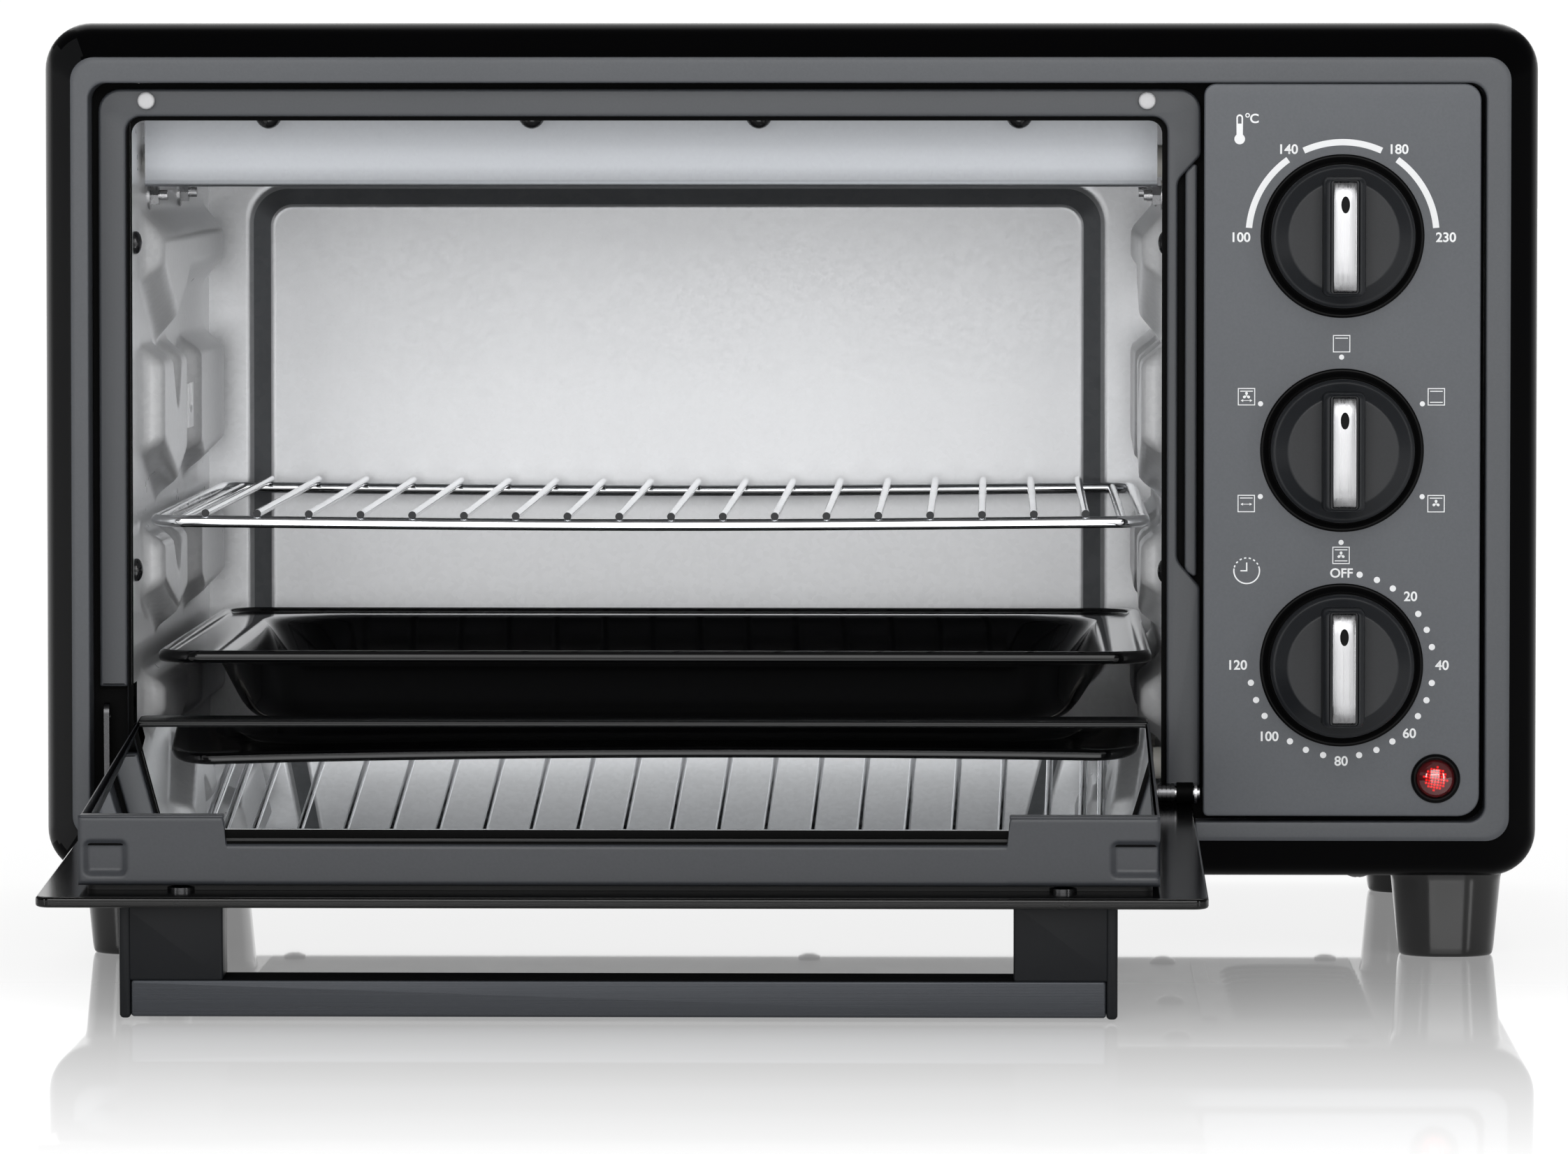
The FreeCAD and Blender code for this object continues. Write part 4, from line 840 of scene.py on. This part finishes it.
# -------------------------------------------------------------- lamp lens
LX, LZ = 194.3, 56.3
lathe("lamp_ring", round_profile([(5.5, 0.3), (5.75, 1.0), (6.2, 1.6), (7.0, 1.3), (7.4, 0.4), (7.45, -0.3)],
                                 [0, 0.3, 0.4, 0.5, 0.3, 0]), P(LX, 0, LZ), (0, -1, 0), "case", "knob_ring",
      seg=64, rep=["lamp_bezel"])
dome = [(5.75 * math.sin(math.radians(a)) / math.sin(math.radians(52)),
         0.5 + 7.3 * (math.cos(math.radians(a)) - math.cos(math.radians(52)))) for a in range(52, -1, -4)]
lathe("lamp_dome", dome, P(LX, 0, LZ), (0, -1, 0), "case", "red_lens", seg=64, rep=["lamp_lens"])
lathe("lamp_cup", [(5.7, -0.4), (4.4, -3.5), (0, -3.6)], P(LX, 0, LZ), (0, -1, 0), "case", "lens_cup",
      seg=48, rep=["lamp_bulb"])
# faceted prism pattern inside the lens
v_, f_ = [], []
for i in range(-4, 5):
    for j in range(-4, 5):
        u, w = i * 0.80 + j * 0.14, j * 0.80 - i * 0.14
        if u * u + w * w > 3.3 ** 2:
            continue
        b0 = len(v_)
        for du, dw in ((-0.29, -0.29), (0.29, -0.29), (0.29, 0.29), (-0.29, 0.29)):
            v_.append(P(LX + u + du, -0.25, LZ + w + dw))
        v_.append(P(LX + u + 0.1, -0.85, LZ + w + 0.08))
        f_ += [(b0, b0 + 1, b0 + 4), (b0 + 1, b0 + 2, b0 + 4), (b0 + 2, b0 + 3, b0 + 4), (b0 + 3, b0, b0 + 4)]
mesh("lamp_prisms", v_, f_, "case", "lens_core", sharp=0)


# ------------------------------------------------------------ oven cavity
def poly_sd(px, pz, pts):
    """Signed distance to a closed outline, negative inside."""
    d = 1e18
    inside = False
    n = len(pts)
    for i in range(n):
        ax, az = pts[i]
        bx, bz = pts[(i + 1) % n]
        ex, ez = bx - ax, bz - az
        wx, wz = px - ax, pz - az
        t = max(0.0, min(1.0, (wx * ex + wz * ez) / (ex * ex + ez * ez)))
        dx, dz = wx - ex * t, wz - ez * t
        q = dx * dx + dz * dz
        if q < d:
            d = q
        if (az > pz) != (bz > pz) and px < (bx - ax) * (pz - az) / (bz - az) + ax:
            inside = not inside
    d = math.sqrt(d)
    return -d if inside else d


def step(t):
    t = max(0.0, min(1.0, t))
    return t * t * (3 - 2 * t)


def ease(t):
    """Straight pressed slope with rounded shoulders."""
    t = max(0.0, min(1.0, t))
    e = 0.16
    if t < e:
        return t * t / (2 * e * (1 - e))
    if t > 1 - e:
        return 1 - (1 - t) ** 2 / (2 * e * (1 - e))
    return (t - e / 2) / (1 - e)


CAV_Z0, CAV_Z1 = 47.8, 258.0
blocks = [
    ([(43, 227), (284, 227), (284, 200), (150, 200), (134, 193), (97, 184.5), (43, 204)], 9.5, 7.2),
    ([(43, 186), (84, 186), (99, 171), (108, 186), (138, 186), (138, 146), (97, 136.5), (43, 152)], 6.5, 7.2),
    ([(181, 186), (284, 186), (284, 144), (198, 140), (181, 147)], 6.5, 7.2),
    ([(43, 130.5), (84, 130.5), (99, 120), (108, 130.5), (138, 130.5), (138, 102), (97, 95.5), (43, 108)], 6.5, 7.2),
    ([(181, 130.5), (284, 130.5), (284, 100), (198, 97), (181, 104)], 6.5, 7.2),
    ([(43, 86.5), (138, 86.5), (138, 66), (97, 61), (43, 68)], 6.0, 7.2),
    ([(181, 86.5), (284, 86.5), (284, 62), (181, 62)], 6.0, 7.2),
]


def press(y, z):
    h = 0.0
    for pts, w, top in blocks:
        ys = [p[0] for p in pts]
        zs = [p[1] for p in pts]
        if y < min(ys) or y > max(ys) or z < min(zs) or z > max(zs):
            continue
        sd = poly_sd(y, z, pts)
        if sd < 0:
            h = max(h, top * ease(-sd / w))
    return h


wall_y = [12.5 + i * (304.0 - 12.5) / 165 for i in range(166)]
wall_z = [CAV_Z0 + i * (CAV_Z1 - CAV_Z0) / 130 for i in range(131)]
height = [[press(y, z) for z in wall_z] for y in wall_y]
for _ in range(1):                          # one light smoothing pass, as drawn sheet has no sharp creases
    hs_ = [r[:] for r in height]
    for i in range(1, 165):
        for j in range(1, 130):
            hs_[i][j] = (4 * height[i][j] + height[i - 1][j] + height[i + 1][j] + height[i][j - 1] + height[i][j + 1]) / 8
    height = hs_
for nm, x_in, sgn in (("cavity_left", -199.5, 1.0), ("cavity_right", 113.5, -1.0)):
    v_, f_ = [], []
    keep = {}
    for i, y in enumerate(wall_y):
        for j, z in enumerate(wall_z):
            if y < 30 and z < (83.0 if sgn > 0 else 56.5):
                continue
            keep[(i, j)] = len(v_)
            v_.append(P(x_in + sgn * height[i][j], y, z))
    for i in range(165):
        for j in range(130):
            q = [keep.get((i, j)), keep.get((i + 1, j)), keep.get((i + 1, j + 1)), keep.get((i, j + 1))]
            if None not in q:
                f_.append(tuple(q))
    # side walls drawn in the lightened aluminised copy: painted light
    mesh(nm + "_sheet", v_, f_, "case", "aluminised_wall", sharp=0,
         rep=[nm + "_wall"])

# rear wall: flat rim, steep pressed border, field 6 mm further back
loft("cavity_rear_rim", [(-199.6, 113.6, 47.8, 258.0, 0.3, 304.0), (-186.4, 98.6, 65.2, 232.8, 13.0, 304.0),
                         (-184.6, 96.8, 67.0, 231.0, 11.5, 305.4)],
     [0, 1.6, 0], PX, "case", "aluminised_steel", seg=14, fseg=8, sharp=0,
     rep=["cavity_rear_wall"])
# the border band is drawn in the darker aluminised copy: painted shade on its slopes
loft("cavity_rear_border", [(-184.6, 96.8, 67.0, 231.0, 11.5, 305.4), (-179.2, 91.2, 72.4, 225.8, 7.4, 309.6)],
     [0, 0], PX, "case", "aluminised_border", seg=14, sharp=0)
loft("cavity_rear_field", [(-179.2, 91.2, 72.4, 225.8, 7.4, 309.6), (-178.2, 90.2, 73.4, 224.8, 6.6, 310.2),
                           (-168.0, 80.0, 83.6, 214.6, 5.0, 310.2)],
     [0, 0.7, 0], PX, "case", "aluminised_steel", caps=(False, True), seg=14,
     fseg=6, sharp=0)

# heat deflector hanging across the front of the ceiling
prof = [(44.4, 257.2), (45.2, 256.6), (45.6, 255.6), (45.7, 250.0), (45.6, 240.0), (45.6, 236.0), (45.9, 234.6),
        (46.6, 233.9), (47.6, 233.8), (48.2, 234.4)]
v_, f_ = [], []
for y, z in prof:
    v_ += [P(-197.9, y, z), P(111.1, y, z)]
for i in range(len(prof) - 1):
    f_.append((2 * i, 2 * i + 1, 2 * i + 3, 2 * i + 2))
n0 = len(v_)
v_ += [P(-197.9, 48.4, 257.2), P(111.1, 48.4, 257.2)]
f_.append((n0 - 2, n0 - 1, n0 + 1, n0))
mesh("deflector_sheet", v_, f_, "case", "aluminised_satin", sharp=0,
     rep=["upper_heat_deflector"])
mesh("deflector_flange", [P(-197.9, 30, 257.4), P(111.1, 30, 257.4), P(111.1, 46, 257.4), P(-197.9, 46, 257.4)],
     [(0, 1, 2, 3)], "case", "aluminised_satin", sharp=0)


def pan_head(name, at, axis, r, h, body="case", mat="black_screws", rep=(), cross=True):
    pr = [(r * 0.98, 0.0), (r, h * 0.25)] + [(r * math.cos(math.radians(a)), h * (0.25 + 0.75 * math.sin(math.radians(a))))
                                             for a in range(15, 90, 15)] + [(r * 0.12, h)]
    if cross:
        pr += [(r * 0.10, h * 0.55), (0, h * 0.5)]
    else:
        pr += [(0, h)]
    return lathe(name, pr, at, axis, body, mat, seg=32, rep=rep, sharp=50)


for i, x in enumerate((-159, -79, -10, 69)):
    pan_head("deflector_screw_%d" % i, P(x, 31.5, 257.2), (0, 0, -1), 4.1, 5.7, rep=["cavity_screws"] if i == 0 else ())
for i, z in enumerate((117.6, 217.0)):
    pan_head("side_screw_l%d" % i, P(-199.4, 24.0, z), (1, 0, 0), 3.5, 2.4)
    pan_head("side_screw_r%d" % i, P(113.4, 24.0, z), (-1, 0, 0), 3.5, 2.4)

# --------------------------------------------------------------- wire rack
RZ = 132.1


def rack_loop(x0, x1, y0, y1, r, seg=8, dip=1.1):
    pts = []
    for cx, cy, a0 in ((x0 + r, y0 + r, 180), (x1 - r, y0 + r, 270), (x1 - r, y1 - r, 0), (x0 + r, y1 - r, 90)):
        for i in range(seg + 1):
            a = math.radians(a0 + 90.0 * i / seg)
            pts.append((cx + r * math.cos(a), cy + r * math.sin(a)))
        if a0 == 180 or a0 == 0:
            n = 22
            xa, ya = pts[-1]
            xb = x1 - r if a0 == 180 else x0 + r
            for i in range(1, n):
                pts.append((xa + (xb - xa) * i / n, ya))
    out = []
    for x, y in pts:
        t = (x - x0) / (x1 - x0)
        out.append(P(x, y, RZ - dip * math.sin(math.pi * t) ** 1.2))
    return out


parts_ = [tube("", rack_loop(-194.2, 107.2, 33.3, 297.7, 9.0), 1.85, "", "", cyclic=True)]
for x in (-187.6, 100.6):
    pts = [P(x, 34.0, RZ), P(x, 80, RZ), P(x, 150, RZ), P(x, 220, RZ), P(x, 297.0, RZ)]
    parts_.append(tube("", pts, 1.45, "", ""))
for i in range(18):
    x = -178.6 + 15.76 * i
    t = (x + 194.2) / 301.4
    z = 134.6 - 1.1 * math.sin(math.pi * t) ** 1.2
    pts = [P(x, 31.7, z + 0.1), P(x, 32.1, z + 0.1), P(x, 60, z + 0.05), P(x, 165, z), P(x, 270, z + 0.1),
           P(x, 298.9, z + 0.2), P(x, 299.3, z + 0.2)]
    parts_.append(tube("", pts, 1.22, "", "", seg=16))
v_, f_ = merge(parts_)
ob_ = mesh("rack_wires", v_, f_, "wire_rack", "chrome", sharp=50, rep=["wire_rack"])
ob_.data.materials.append(mats["knob_plastic"])
for p_ in ob_.data.polygons:
    if len(p_.vertices) > 4:
        p_.material_index = 1

# ------------------------------------------------------------- baking tray
loft("tray_pan", [(-157, 73, 68, 255, 12, 70.3), (-166.4, 82.4, 58.6, 264.4, 20, 70.3),
                  (-176.6, 94.6, 46.4, 276.6, 28, 90.6), (-183, 99, 41, 281, 24, 91.0),
                  (-189.6, 105.2, 35.9, 287.1, 10.5, 91.1), (-190.9, 106.5, 34.6, 288.4, 11.4, 92.5),
                  (-193.0, 108.6, 32.5, 290.5, 13.2, 92.7), (-194.1, 109.7, 31.4, 291.6, 14.1, 91.5),
                  (-194.1, 109.7, 31.4, 291.6, 14.1, 89.6), (-193.4, 109.0, 32.1, 290.9, 13.4, 88.7),
                  (-192.0, 107.6, 33.5, 289.5, 12.0, 89.0), (-178.6, 96.6, 44.4, 278.6, 29, 89.6),
                  (-168.4, 84.4, 56.6, 266.4, 21, 69.4), (-158, 74, 67, 256, 13, 69.4)],
     [0, 8.0, 3.0, 0, 1.2, 0.9, 0.9, 0.9, 0.7, 0.7, 0.7, 3.0, 9.0, 0], PZ, "baking_tray", "black_enamel",
     caps=(True, True), seg=14, fseg=6, sharp=60, rep=["baking_tray"])


# ------------------------------------------------------------------- door
FX0, FX1, FS0, FS1 = -196.7, 108.3, 2.0, 201.0
NX0, NX1 = -155.5, 65.9                   # notch in the top edge
LEDGE = 12.3


def PS(a, b, c):          # door section in XN, depth along S
    return D(a, b, c)


def PT(a, b, c):          # inner side of the door, a little deeper towards the hinge
    k = 5.5 * (201.0 - b) / 199.0 * max(0.0, min(1.0, c / 12.0))
    return D(a, c + k, b)


def PG(a, b, c):          # the inner glass and what carries it lean a little more than the frame
    k = (7.0 * (201.0 - b) - 2.0 * (b - 2.0)) / 199.0 * max(0.0, min(1.0, c / 10.0))
    return D(a, c + k, b)


# inside face: flat border round the window, left open at the notch
for nm, xa, xb in (("left", FX0 + 0.5, NX0), ("right", NX1, FX1 - 0.5)):
    lip = round_poly([(xa, FS1 - 4.2), (xb, FS1 - 4.2), (xb, FS1 - 0.4), (xa, FS1 - 0.4)], [0.6, 0.6, 0.5, 0.5], 4)
    plate("door_lip_" + nm, lip, [], 16.9, 18.0, 0.45, PT, "door", "door_paint",
          rep=["door_frame"] if nm == "left" else (), bres=3)
rail = round_poly([(FX0 + 0.5, FS0 + 0.6), (FX1 - 0.5, FS0 + 0.6), (FX1 - 0.5, FS0 + 12.5), (FX0 + 0.5, FS0 + 12.5)],
                  [2.6, 2.6, 0.5, 0.5], 5)
plate("door_hinge_rail", rail, [], 15.2, 18.0, 0.6, PT, "door", "case_paint", bres=3)

# outer skirt: both sides and the hinge edge
path = round_poly([(FX0, FS1 - 0.8), (FX0, FS0), (FX1, FS0), (FX1, FS1 - 0.8)], [0, 3.0, 3.0, 0], 6)
v_, f_ = [], []
rows = ((-2.0, 0.0), (16.2, 0.0), (17.2, 0.25), (17.75, 0.9))
cx_, cs_ = 0.5 * (FX0 + FX1), 0.5 * (FS0 + FS1)
for a, c in path:
    for n_, inset in rows:
        v_.append(PT(a + (inset if a < cx_ else -inset), c + (inset if c < 6 else 0), n_))
k_ = len(rows)
for i in range(len(path) - 1):
    for j in range(k_ - 1):
        f_.append((i * k_ + j, i * k_ + j + 1, (i + 1) * k_ + j + 1, (i + 1) * k_ + j))
mesh("door_frame_skirt", v_, f_, "door", "door_paint")

# top edge face with the two pressed rectangles and the notch
xs = []
x = FX0
while x < FX1 - 1e-6:
    xs.append(x)
    near = min(abs(x - FX0 - 9), abs(x - FX1 + 9), abs(x - NX0) * 2, abs(x - NX1) * 2)
    x += 0.45 if near < 14 else 3.0
xs.append(FX1)
ns = [-2.0 + 20.0 * i / 44 for i in range(45)]
dents = [(FX0 + 1.0, FX0 + 14.4, 0.2, 11.4), (FX1 - 14.4, FX1 + 3.0, 0.2, 11.4)]


def rr_sd(px, pz, x0, x1, z0, z1, r):
    qx = abs(px - 0.5 * (x0 + x1)) - 0.5 * (x1 - x0) + r
    qz = abs(pz - 0.5 * (z0 + z1)) - 0.5 * (z1 - z0) + r
    return math.hypot(max(qx, 0), max(qz, 0)) + min(max(qx, qz), 0) - r


v_, f_ = [], []
for i, x in enumerate(xs):
    cut = step((x - NX0 + 0.2) / 0.9) * step((NX1 + 0.2 - x) / 0.9)
    top = 18.0 + (LEDGE - 2.3 - 18.0) * cut
    for n_ in ns:
        nn = -2.0 + (n_ + 2.0) * (top + 2.0) / 20.0
        edge = min(nn + 2.0, top - nn, x - FX0 + 0.2, FX1 - x + 0.2)
        s = FS1 - 1.5 * (1 - math.sqrt(max(0.0, 1 - (1 - min(1.0, edge / 1.5)) ** 2)))
        for x0, x1, a0, a1 in dents:
            sd = rr_sd(x, nn, x0, x1, a0, a1, 2.6)
            if sd < 0:
                s -= 1.5 * ease(-sd / 2.4)
        v_.append(D(x, nn, s))
m_ = len(ns)
for i in range(len(xs) - 1):
    for j in range(m_ - 1):
        f_.append((i * m_ + j, i * m_ + j + 1, (i + 1) * m_ + j + 1, (i + 1) * m_ + j))
mesh("door_frame_face", v_, f_, "door", "door_paint", sharp=0)
# ledge under the inner glass, window wall and the flange turned in at the bottom, drawn in flat black as painted shade
# inside the door
led = round_poly([(FX0 + 0.5, FS0 + 0.5), (FX1 - 0.5, FS0 + 0.5), (FX1 - 0.5, FS1 - 0.9), (FX0 + 0.5, FS1 - 0.9)], 1.5, 4)
win = round_poly([(-178.0, 24.0), (90.0, 24.0), (90.0, 180.0), (-178.0, 180.0)], 5.0, 6)
plate("door_ledge", led, [win], LEDGE - 1.0, LEDGE, 0.25, PG, "door", "dark_slot")
loft("door_window_wall", [(-178, 90, 24, 180, 5, LEDGE), (-178, 90, 24, 180, 5, -2.0)], [0, 0], PG, "door",
     "dark_slot", seg=8)
low = round_poly([(FX0 + 0.3, FS0 + 0.3), (FX1 - 0.3, FS0 + 0.3), (FX1 - 0.3, FS1 - 1.4), (FX0 + 0.3, FS1 - 1.4)], 2.0, 4)
plate("door_frame_foot", low, [win], -2.0, -1.2, 0.2, PD, "door", "dark_slot")
# spacer strip that keeps the frame off the outer glass
low2 = round_poly([(FX0 + 2.0, FS0 + 6), (FX1 - 2.0, FS0 + 6), (FX1 - 2.0, FS1 - 4.5), (FX0 + 2.0, FS1 - 4.5)], 3.0, 4)
win2 = round_poly([(-180.0, 22.0), (92.0, 22.0), (92.0, 182.0), (-180.0, 182.0)], 5.0, 6)
plate("door_gap_gasket", low2, [win2], -3.78, -2.0, 0.05, PD, "door", "seal_rubber",
      rep=["inner_glass_seal"])
seal_o = round_poly([(FX0 + 2, FS0 + 15), (FX1 - 2, FS0 + 15), (FX1 - 2, FS1 - 1.6), (FX0 + 2, FS1 - 1.6)], 1.0, 4)
plate("door_glass_seal", seal_o, [round_poly([(-179, 23), (91, 23), (91, 181), (-179, 181)], 5.0, 6)], LEDGE, 13.35,
      0.2, PG, "door", "seal_rubber")
# inner glass
gi = round_poly([(FX0 + 1.1, FS0 + 12.0), (FX1 - 1.1, FS0 + 12.0), (FX1 - 1.1, FS1 - 1.15), (FX0 + 1.1, FS1 - 1.15)], 1.2, 4)
plate("inner_glass_pane", gi, [], 13.4, 15.9, 0.35, PG, "door", "inner_glass",
      rep=["door_inner_glass"])
# its edges are drawn flat black: painted shade along the glass edge and in the notch
me_ = bpy.data.objects["inner_glass_pane"].data
me_.materials.append(mats["dark_slot"])
up_ = (D(0, 1, 0) - D(0, 0, 0)).normalized()
for p_ in me_.polygons:
    if abs(p_.normal.dot(up_)) < 0.8:
        p_.material_index = 1
# outer glass with rounded lower corners when it lies open, and its printed black border
go = round_poly([(-208.1, -2.5), (121.8, -2.5), (121.8, 212.1), (-208.1, 212.1)], [1.5, 1.5, 4.2, 4.2], 8)
plate("outer_glass_pane", go, [], -6.9, -3.85, 0.9, PD, "door", "outer_glass",
      rep=["door_outer_glass"], bres=4)
gb = round_poly([(-207.4, -1.8), (121.1, -1.8), (121.1, 211.4), (-207.4, 211.4)], [1.2, 1.2, 3.6, 3.6], 6)
gw = round_poly([(-176.0, 26.0), (88.0, 26.0), (88.0, 176.0), (-176.0, 176.0)], 8.0, 8)
plate("outer_glass_print", gb, [gw], -3.84, -3.80, 0.0, PD, "door", "print_black")

# handle: two posts with end plates and the bar between them
for side, xa, xb in (("left", -185.4, -156.0), ("right", 67.0, 96.4)):
    ex = (xa, xa + 3.2) if side == "left" else (xb - 3.2, xb)
    round_box("handle_post_" + side, xa + 0.05, xb - 0.05, -29.3, -6.95, 183.0, 199.3, 0.9, 0.7, PS, "door",
              "handle_plastic", rep=["handle_bracket_" + side])
    round_box("handle_end_" + side, ex[0], ex[1], -39.9, -6.95, 182.6, 199.7, 1.2, 0.8, PS, "door",
              "handle_plastic")
round_box("handle_grip", -182.15, 93.15, -39.5, -29.0, 183.2, 199.4, 0.9, 0.7, PS, "door", "handle_bar",
          rep=["handle_bar"])
# upward faces of the bar get the near black top paint: painted shade on its top
me_ = bpy.data.objects["handle_grip"].data
me_.materials.append(mats["bar_top_painted_shade"])
up_ = (D(0, 1, 0) - D(0, 0, 0)).normalized()
for p_ in me_.polygons:
    if abs(p_.normal.dot(up_)) > 0.8:
        p_.material_index = 1

# ------------------------------------------------------------------- feet
for nm, ys in (("front", 41.0), ("rear", 281.0)):
    for i, x in enumerate((-199.3, 199.3)):
        y = ys

        def foot(h, z, r, x=x, y=y):
            return (x - h, x + h, y - h, y + h, r, z)
        loft("foot_%s_%d" % (nm, i),
             [foot(12.0, 0.0, 10.0), foot(14.1, 0.0, 11.6), foot(14.6, 3.0, 12.0), foot(16.6, 24.0, 13.6),
              foot(17.2, 26.0, 14.2), foot(15.0, 26.1, 12.4)],
             [0, 1.6, 0, 1.2, 0, 0], PZ, "case", "foot_plastic", caps=(True, True), seg=12, fseg=5,
             sharp=50, rep=["feet_" + nm] if i == 0 else ())


# ------------------------------------- underside: pressed louvres and screws
v_, f_ = [], []
NU, NT = 18, 6


def scoop(xc, y0, y1, half, h):
    """Pressed louvre hanging below the sheet, open towards the front."""
    b0 = len(v_)
    for i in range(NU + 1):
        u = -1 + 2.0 * i / NU
        for j in range(NT + 1):
            t = j / NT
            d = h * math.sqrt(max(0.0, 1 - u ** 4)) * math.sin(0.5 * math.pi * t) ** 0.8
            v_.append(P(xc + half * u, y1 + (y0 - y1) * t, 26.05 - d))
    m = NT + 1
    for i in range(NU):
        for j in range(NT):
            f_.append((b0 + i * m + j, b0 + i * m + j + 1, b0 + (i + 1) * m + j + 1, b0 + (i + 1) * m + j))


for k in range(10):
    scoop(158.0, 107.0 + 17.6 * k, 117.0 + 17.6 * k, 22.5, 2.6)
# louvres and rib in the darkened underside sheet: painted shade
mesh("underside_louvres", v_, f_, "case", "bottom_sheet", sharp=50)
rib = round_poly([(126.5, 98.0), (131.5, 98.0), (131.5, 292.0), (126.5, 292.0)], 2.2, 6)
plate("underside_rib", rib, [], 24.6, 26.08, 0.7, PZ, "case", "bottom_sheet",
      bres=3)
for i, y in enumerate((41.0, 158.0, 299.0)):
    pan_head("underside_screw_%d" % i, P(117.6, y, 26.1), (0, 0, -1), 4.3, 2.4)


# ------------------------------------------------------- stage and camera
def stage_scene():
    sc = bpy.context.scene
    cam_d = bpy.data.cameras.new("camera")
    cam_d.sensor_width = 36.0
    cam_d.lens = 221.6
    cam_d.clip_end = 80.0
    cam = bpy.data.objects.new("camera", cam_d)
    sc.collection.objects.link(cam)
    cam.location = (0.061, YF / 1000.0 - 2.9, 0.2575)
    aim = Vector((-0.0017, YF / 1000.0, 0.1168))
    cam.rotation_euler = (aim - cam.location).to_track_quat("-Z", "Y").to_euler()
    sc.camera = cam

    me = bpy.data.meshes.new("floor")
    s = 22.0
    me.from_pydata([(-s, -s, 0), (s, -s, 0), (s, s, 0), (-s, s, 0)], [], [(0, 1, 2, 3)])
    fl = bpy.data.objects.new("floor", me)
    sc.collection.objects.link(fl)
    fm, fn, fl_, fb = new_mat("floor_white")
    setv(fb, "Base Color", (0.55, 0.55, 0.55, 1))
    setv(fb, "Roughness", 0.025)
    setv(fb, "IOR", 1.62)
    setv(fb, "Emission Color", (1, 1, 1, 1))
    tcf = fn.new("ShaderNodeTexCoord")
    sepf = fn.new("ShaderNodeSeparateXYZ")
    fl_.new(tcf.outputs["Object"], sepf.inputs["Vector"])
    for sock, lo, hi in (("Specular IOR Level", 0.0, 0.62), ("Emission Strength", 0.70, 0.205)):
        mr = fn.new("ShaderNodeMapRange")
        mr.interpolation_type = "SMOOTHSTEP"
        mr.inputs["From Min"].default_value = -0.62
        mr.inputs["From Max"].default_value = -0.05
        mr.inputs["To Min"].default_value = lo
        mr.inputs["To Max"].default_value = hi
        fl_.new(sepf.outputs["Y"], mr.inputs["Value"])
        fl_.new(mr.outputs["Result"], fb.inputs[sock])
    me.materials.append(fm)

    def area(name, loc, at, sx, sy, power, color=(1, 1, 1)):
        ld = bpy.data.lights.new(name, "AREA")
        ld.shape = "RECTANGLE"
        ld.size, ld.size_y = sx, sy
        ld.energy = power
        ld.color = color
        lo = bpy.data.objects.new(name, ld)
        sc.collection.objects.link(lo)
        lo.location = loc
        lo.rotation_euler = (Vector(at) - Vector(loc)).to_track_quat("-Z", "Y").to_euler()
        return lo
    def lit(name, loc, at, sx, sy, radiance):
        return area(name, loc, at, sx, sy, radiance * math.pi * sx * sy)
    lit("key_front", (0.1, -2.6, 1.5), (0, -0.1, 0.15), 2.2, 1.4, 2.8)
    lit("fill_front_low", (0.0, -3.7, 0.75), (0, 0, 0.15), 3.0, 1.4, 2.5)
    lit("top", (0.0, 2.1, 2.5), (0, 0.5, 0), 3.0, 2.6, 1.8)
    lit("strip_left", (-2.0, -2.2, 0.6), (0, -0.1, 0.15), 0.35, 1.2, 5.0)
    lit("strip_right", (2.0, -2.2, 0.6), (0, -0.1, 0.15), 0.35, 1.2, 5.0)
    lit("back", (0.0, 3.0, 1.3), (0, 0, 0.1), 2.0, 1.0, 2.0)

    w = bpy.data.worlds.new("studio")
    sc.world = w
    w.use_nodes = True
    nt = w.node_tree
    bg = nt.nodes["Background"]
    tc = nt.nodes.new("ShaderNodeTexCoord")
    sep = nt.nodes.new("ShaderNodeSeparateXYZ")
    nt.links.new(tc.outputs["Generated"], sep.inputs["Vector"])

    def span(out, a, b, lo, hi):
        m_ = nt.nodes.new("ShaderNodeMapRange")
        m_.interpolation_type = "SMOOTHSTEP"
        m_.inputs["From Min"].default_value = a
        m_.inputs["From Max"].default_value = b
        m_.inputs["To Min"].default_value = lo
        m_.inputs["To Max"].default_value = hi
        nt.links.new(out, m_.inputs["Value"])
        return m_.outputs["Result"]
    up = span(sep.outputs["Z"], 0.07, 0.35, 1.0, 0.0)
    away = span(sep.outputs["Y"], 0.05, 0.55, 0.0, 1.0)
    mul = nt.nodes.new("ShaderNodeMath")
    mul.operation = "MULTIPLY"
    nt.links.new(up, mul.inputs[0])
    nt.links.new(away, mul.inputs[1])
    fin = span(mul.outputs[0], 0.0, 1.0, 0.16, 1.03)
    nt.links.new(fin, bg.inputs["Color"])
    bg.inputs["Strength"].default_value = 1.0
    sc.view_settings.view_transform = "Standard"


stage_scene()
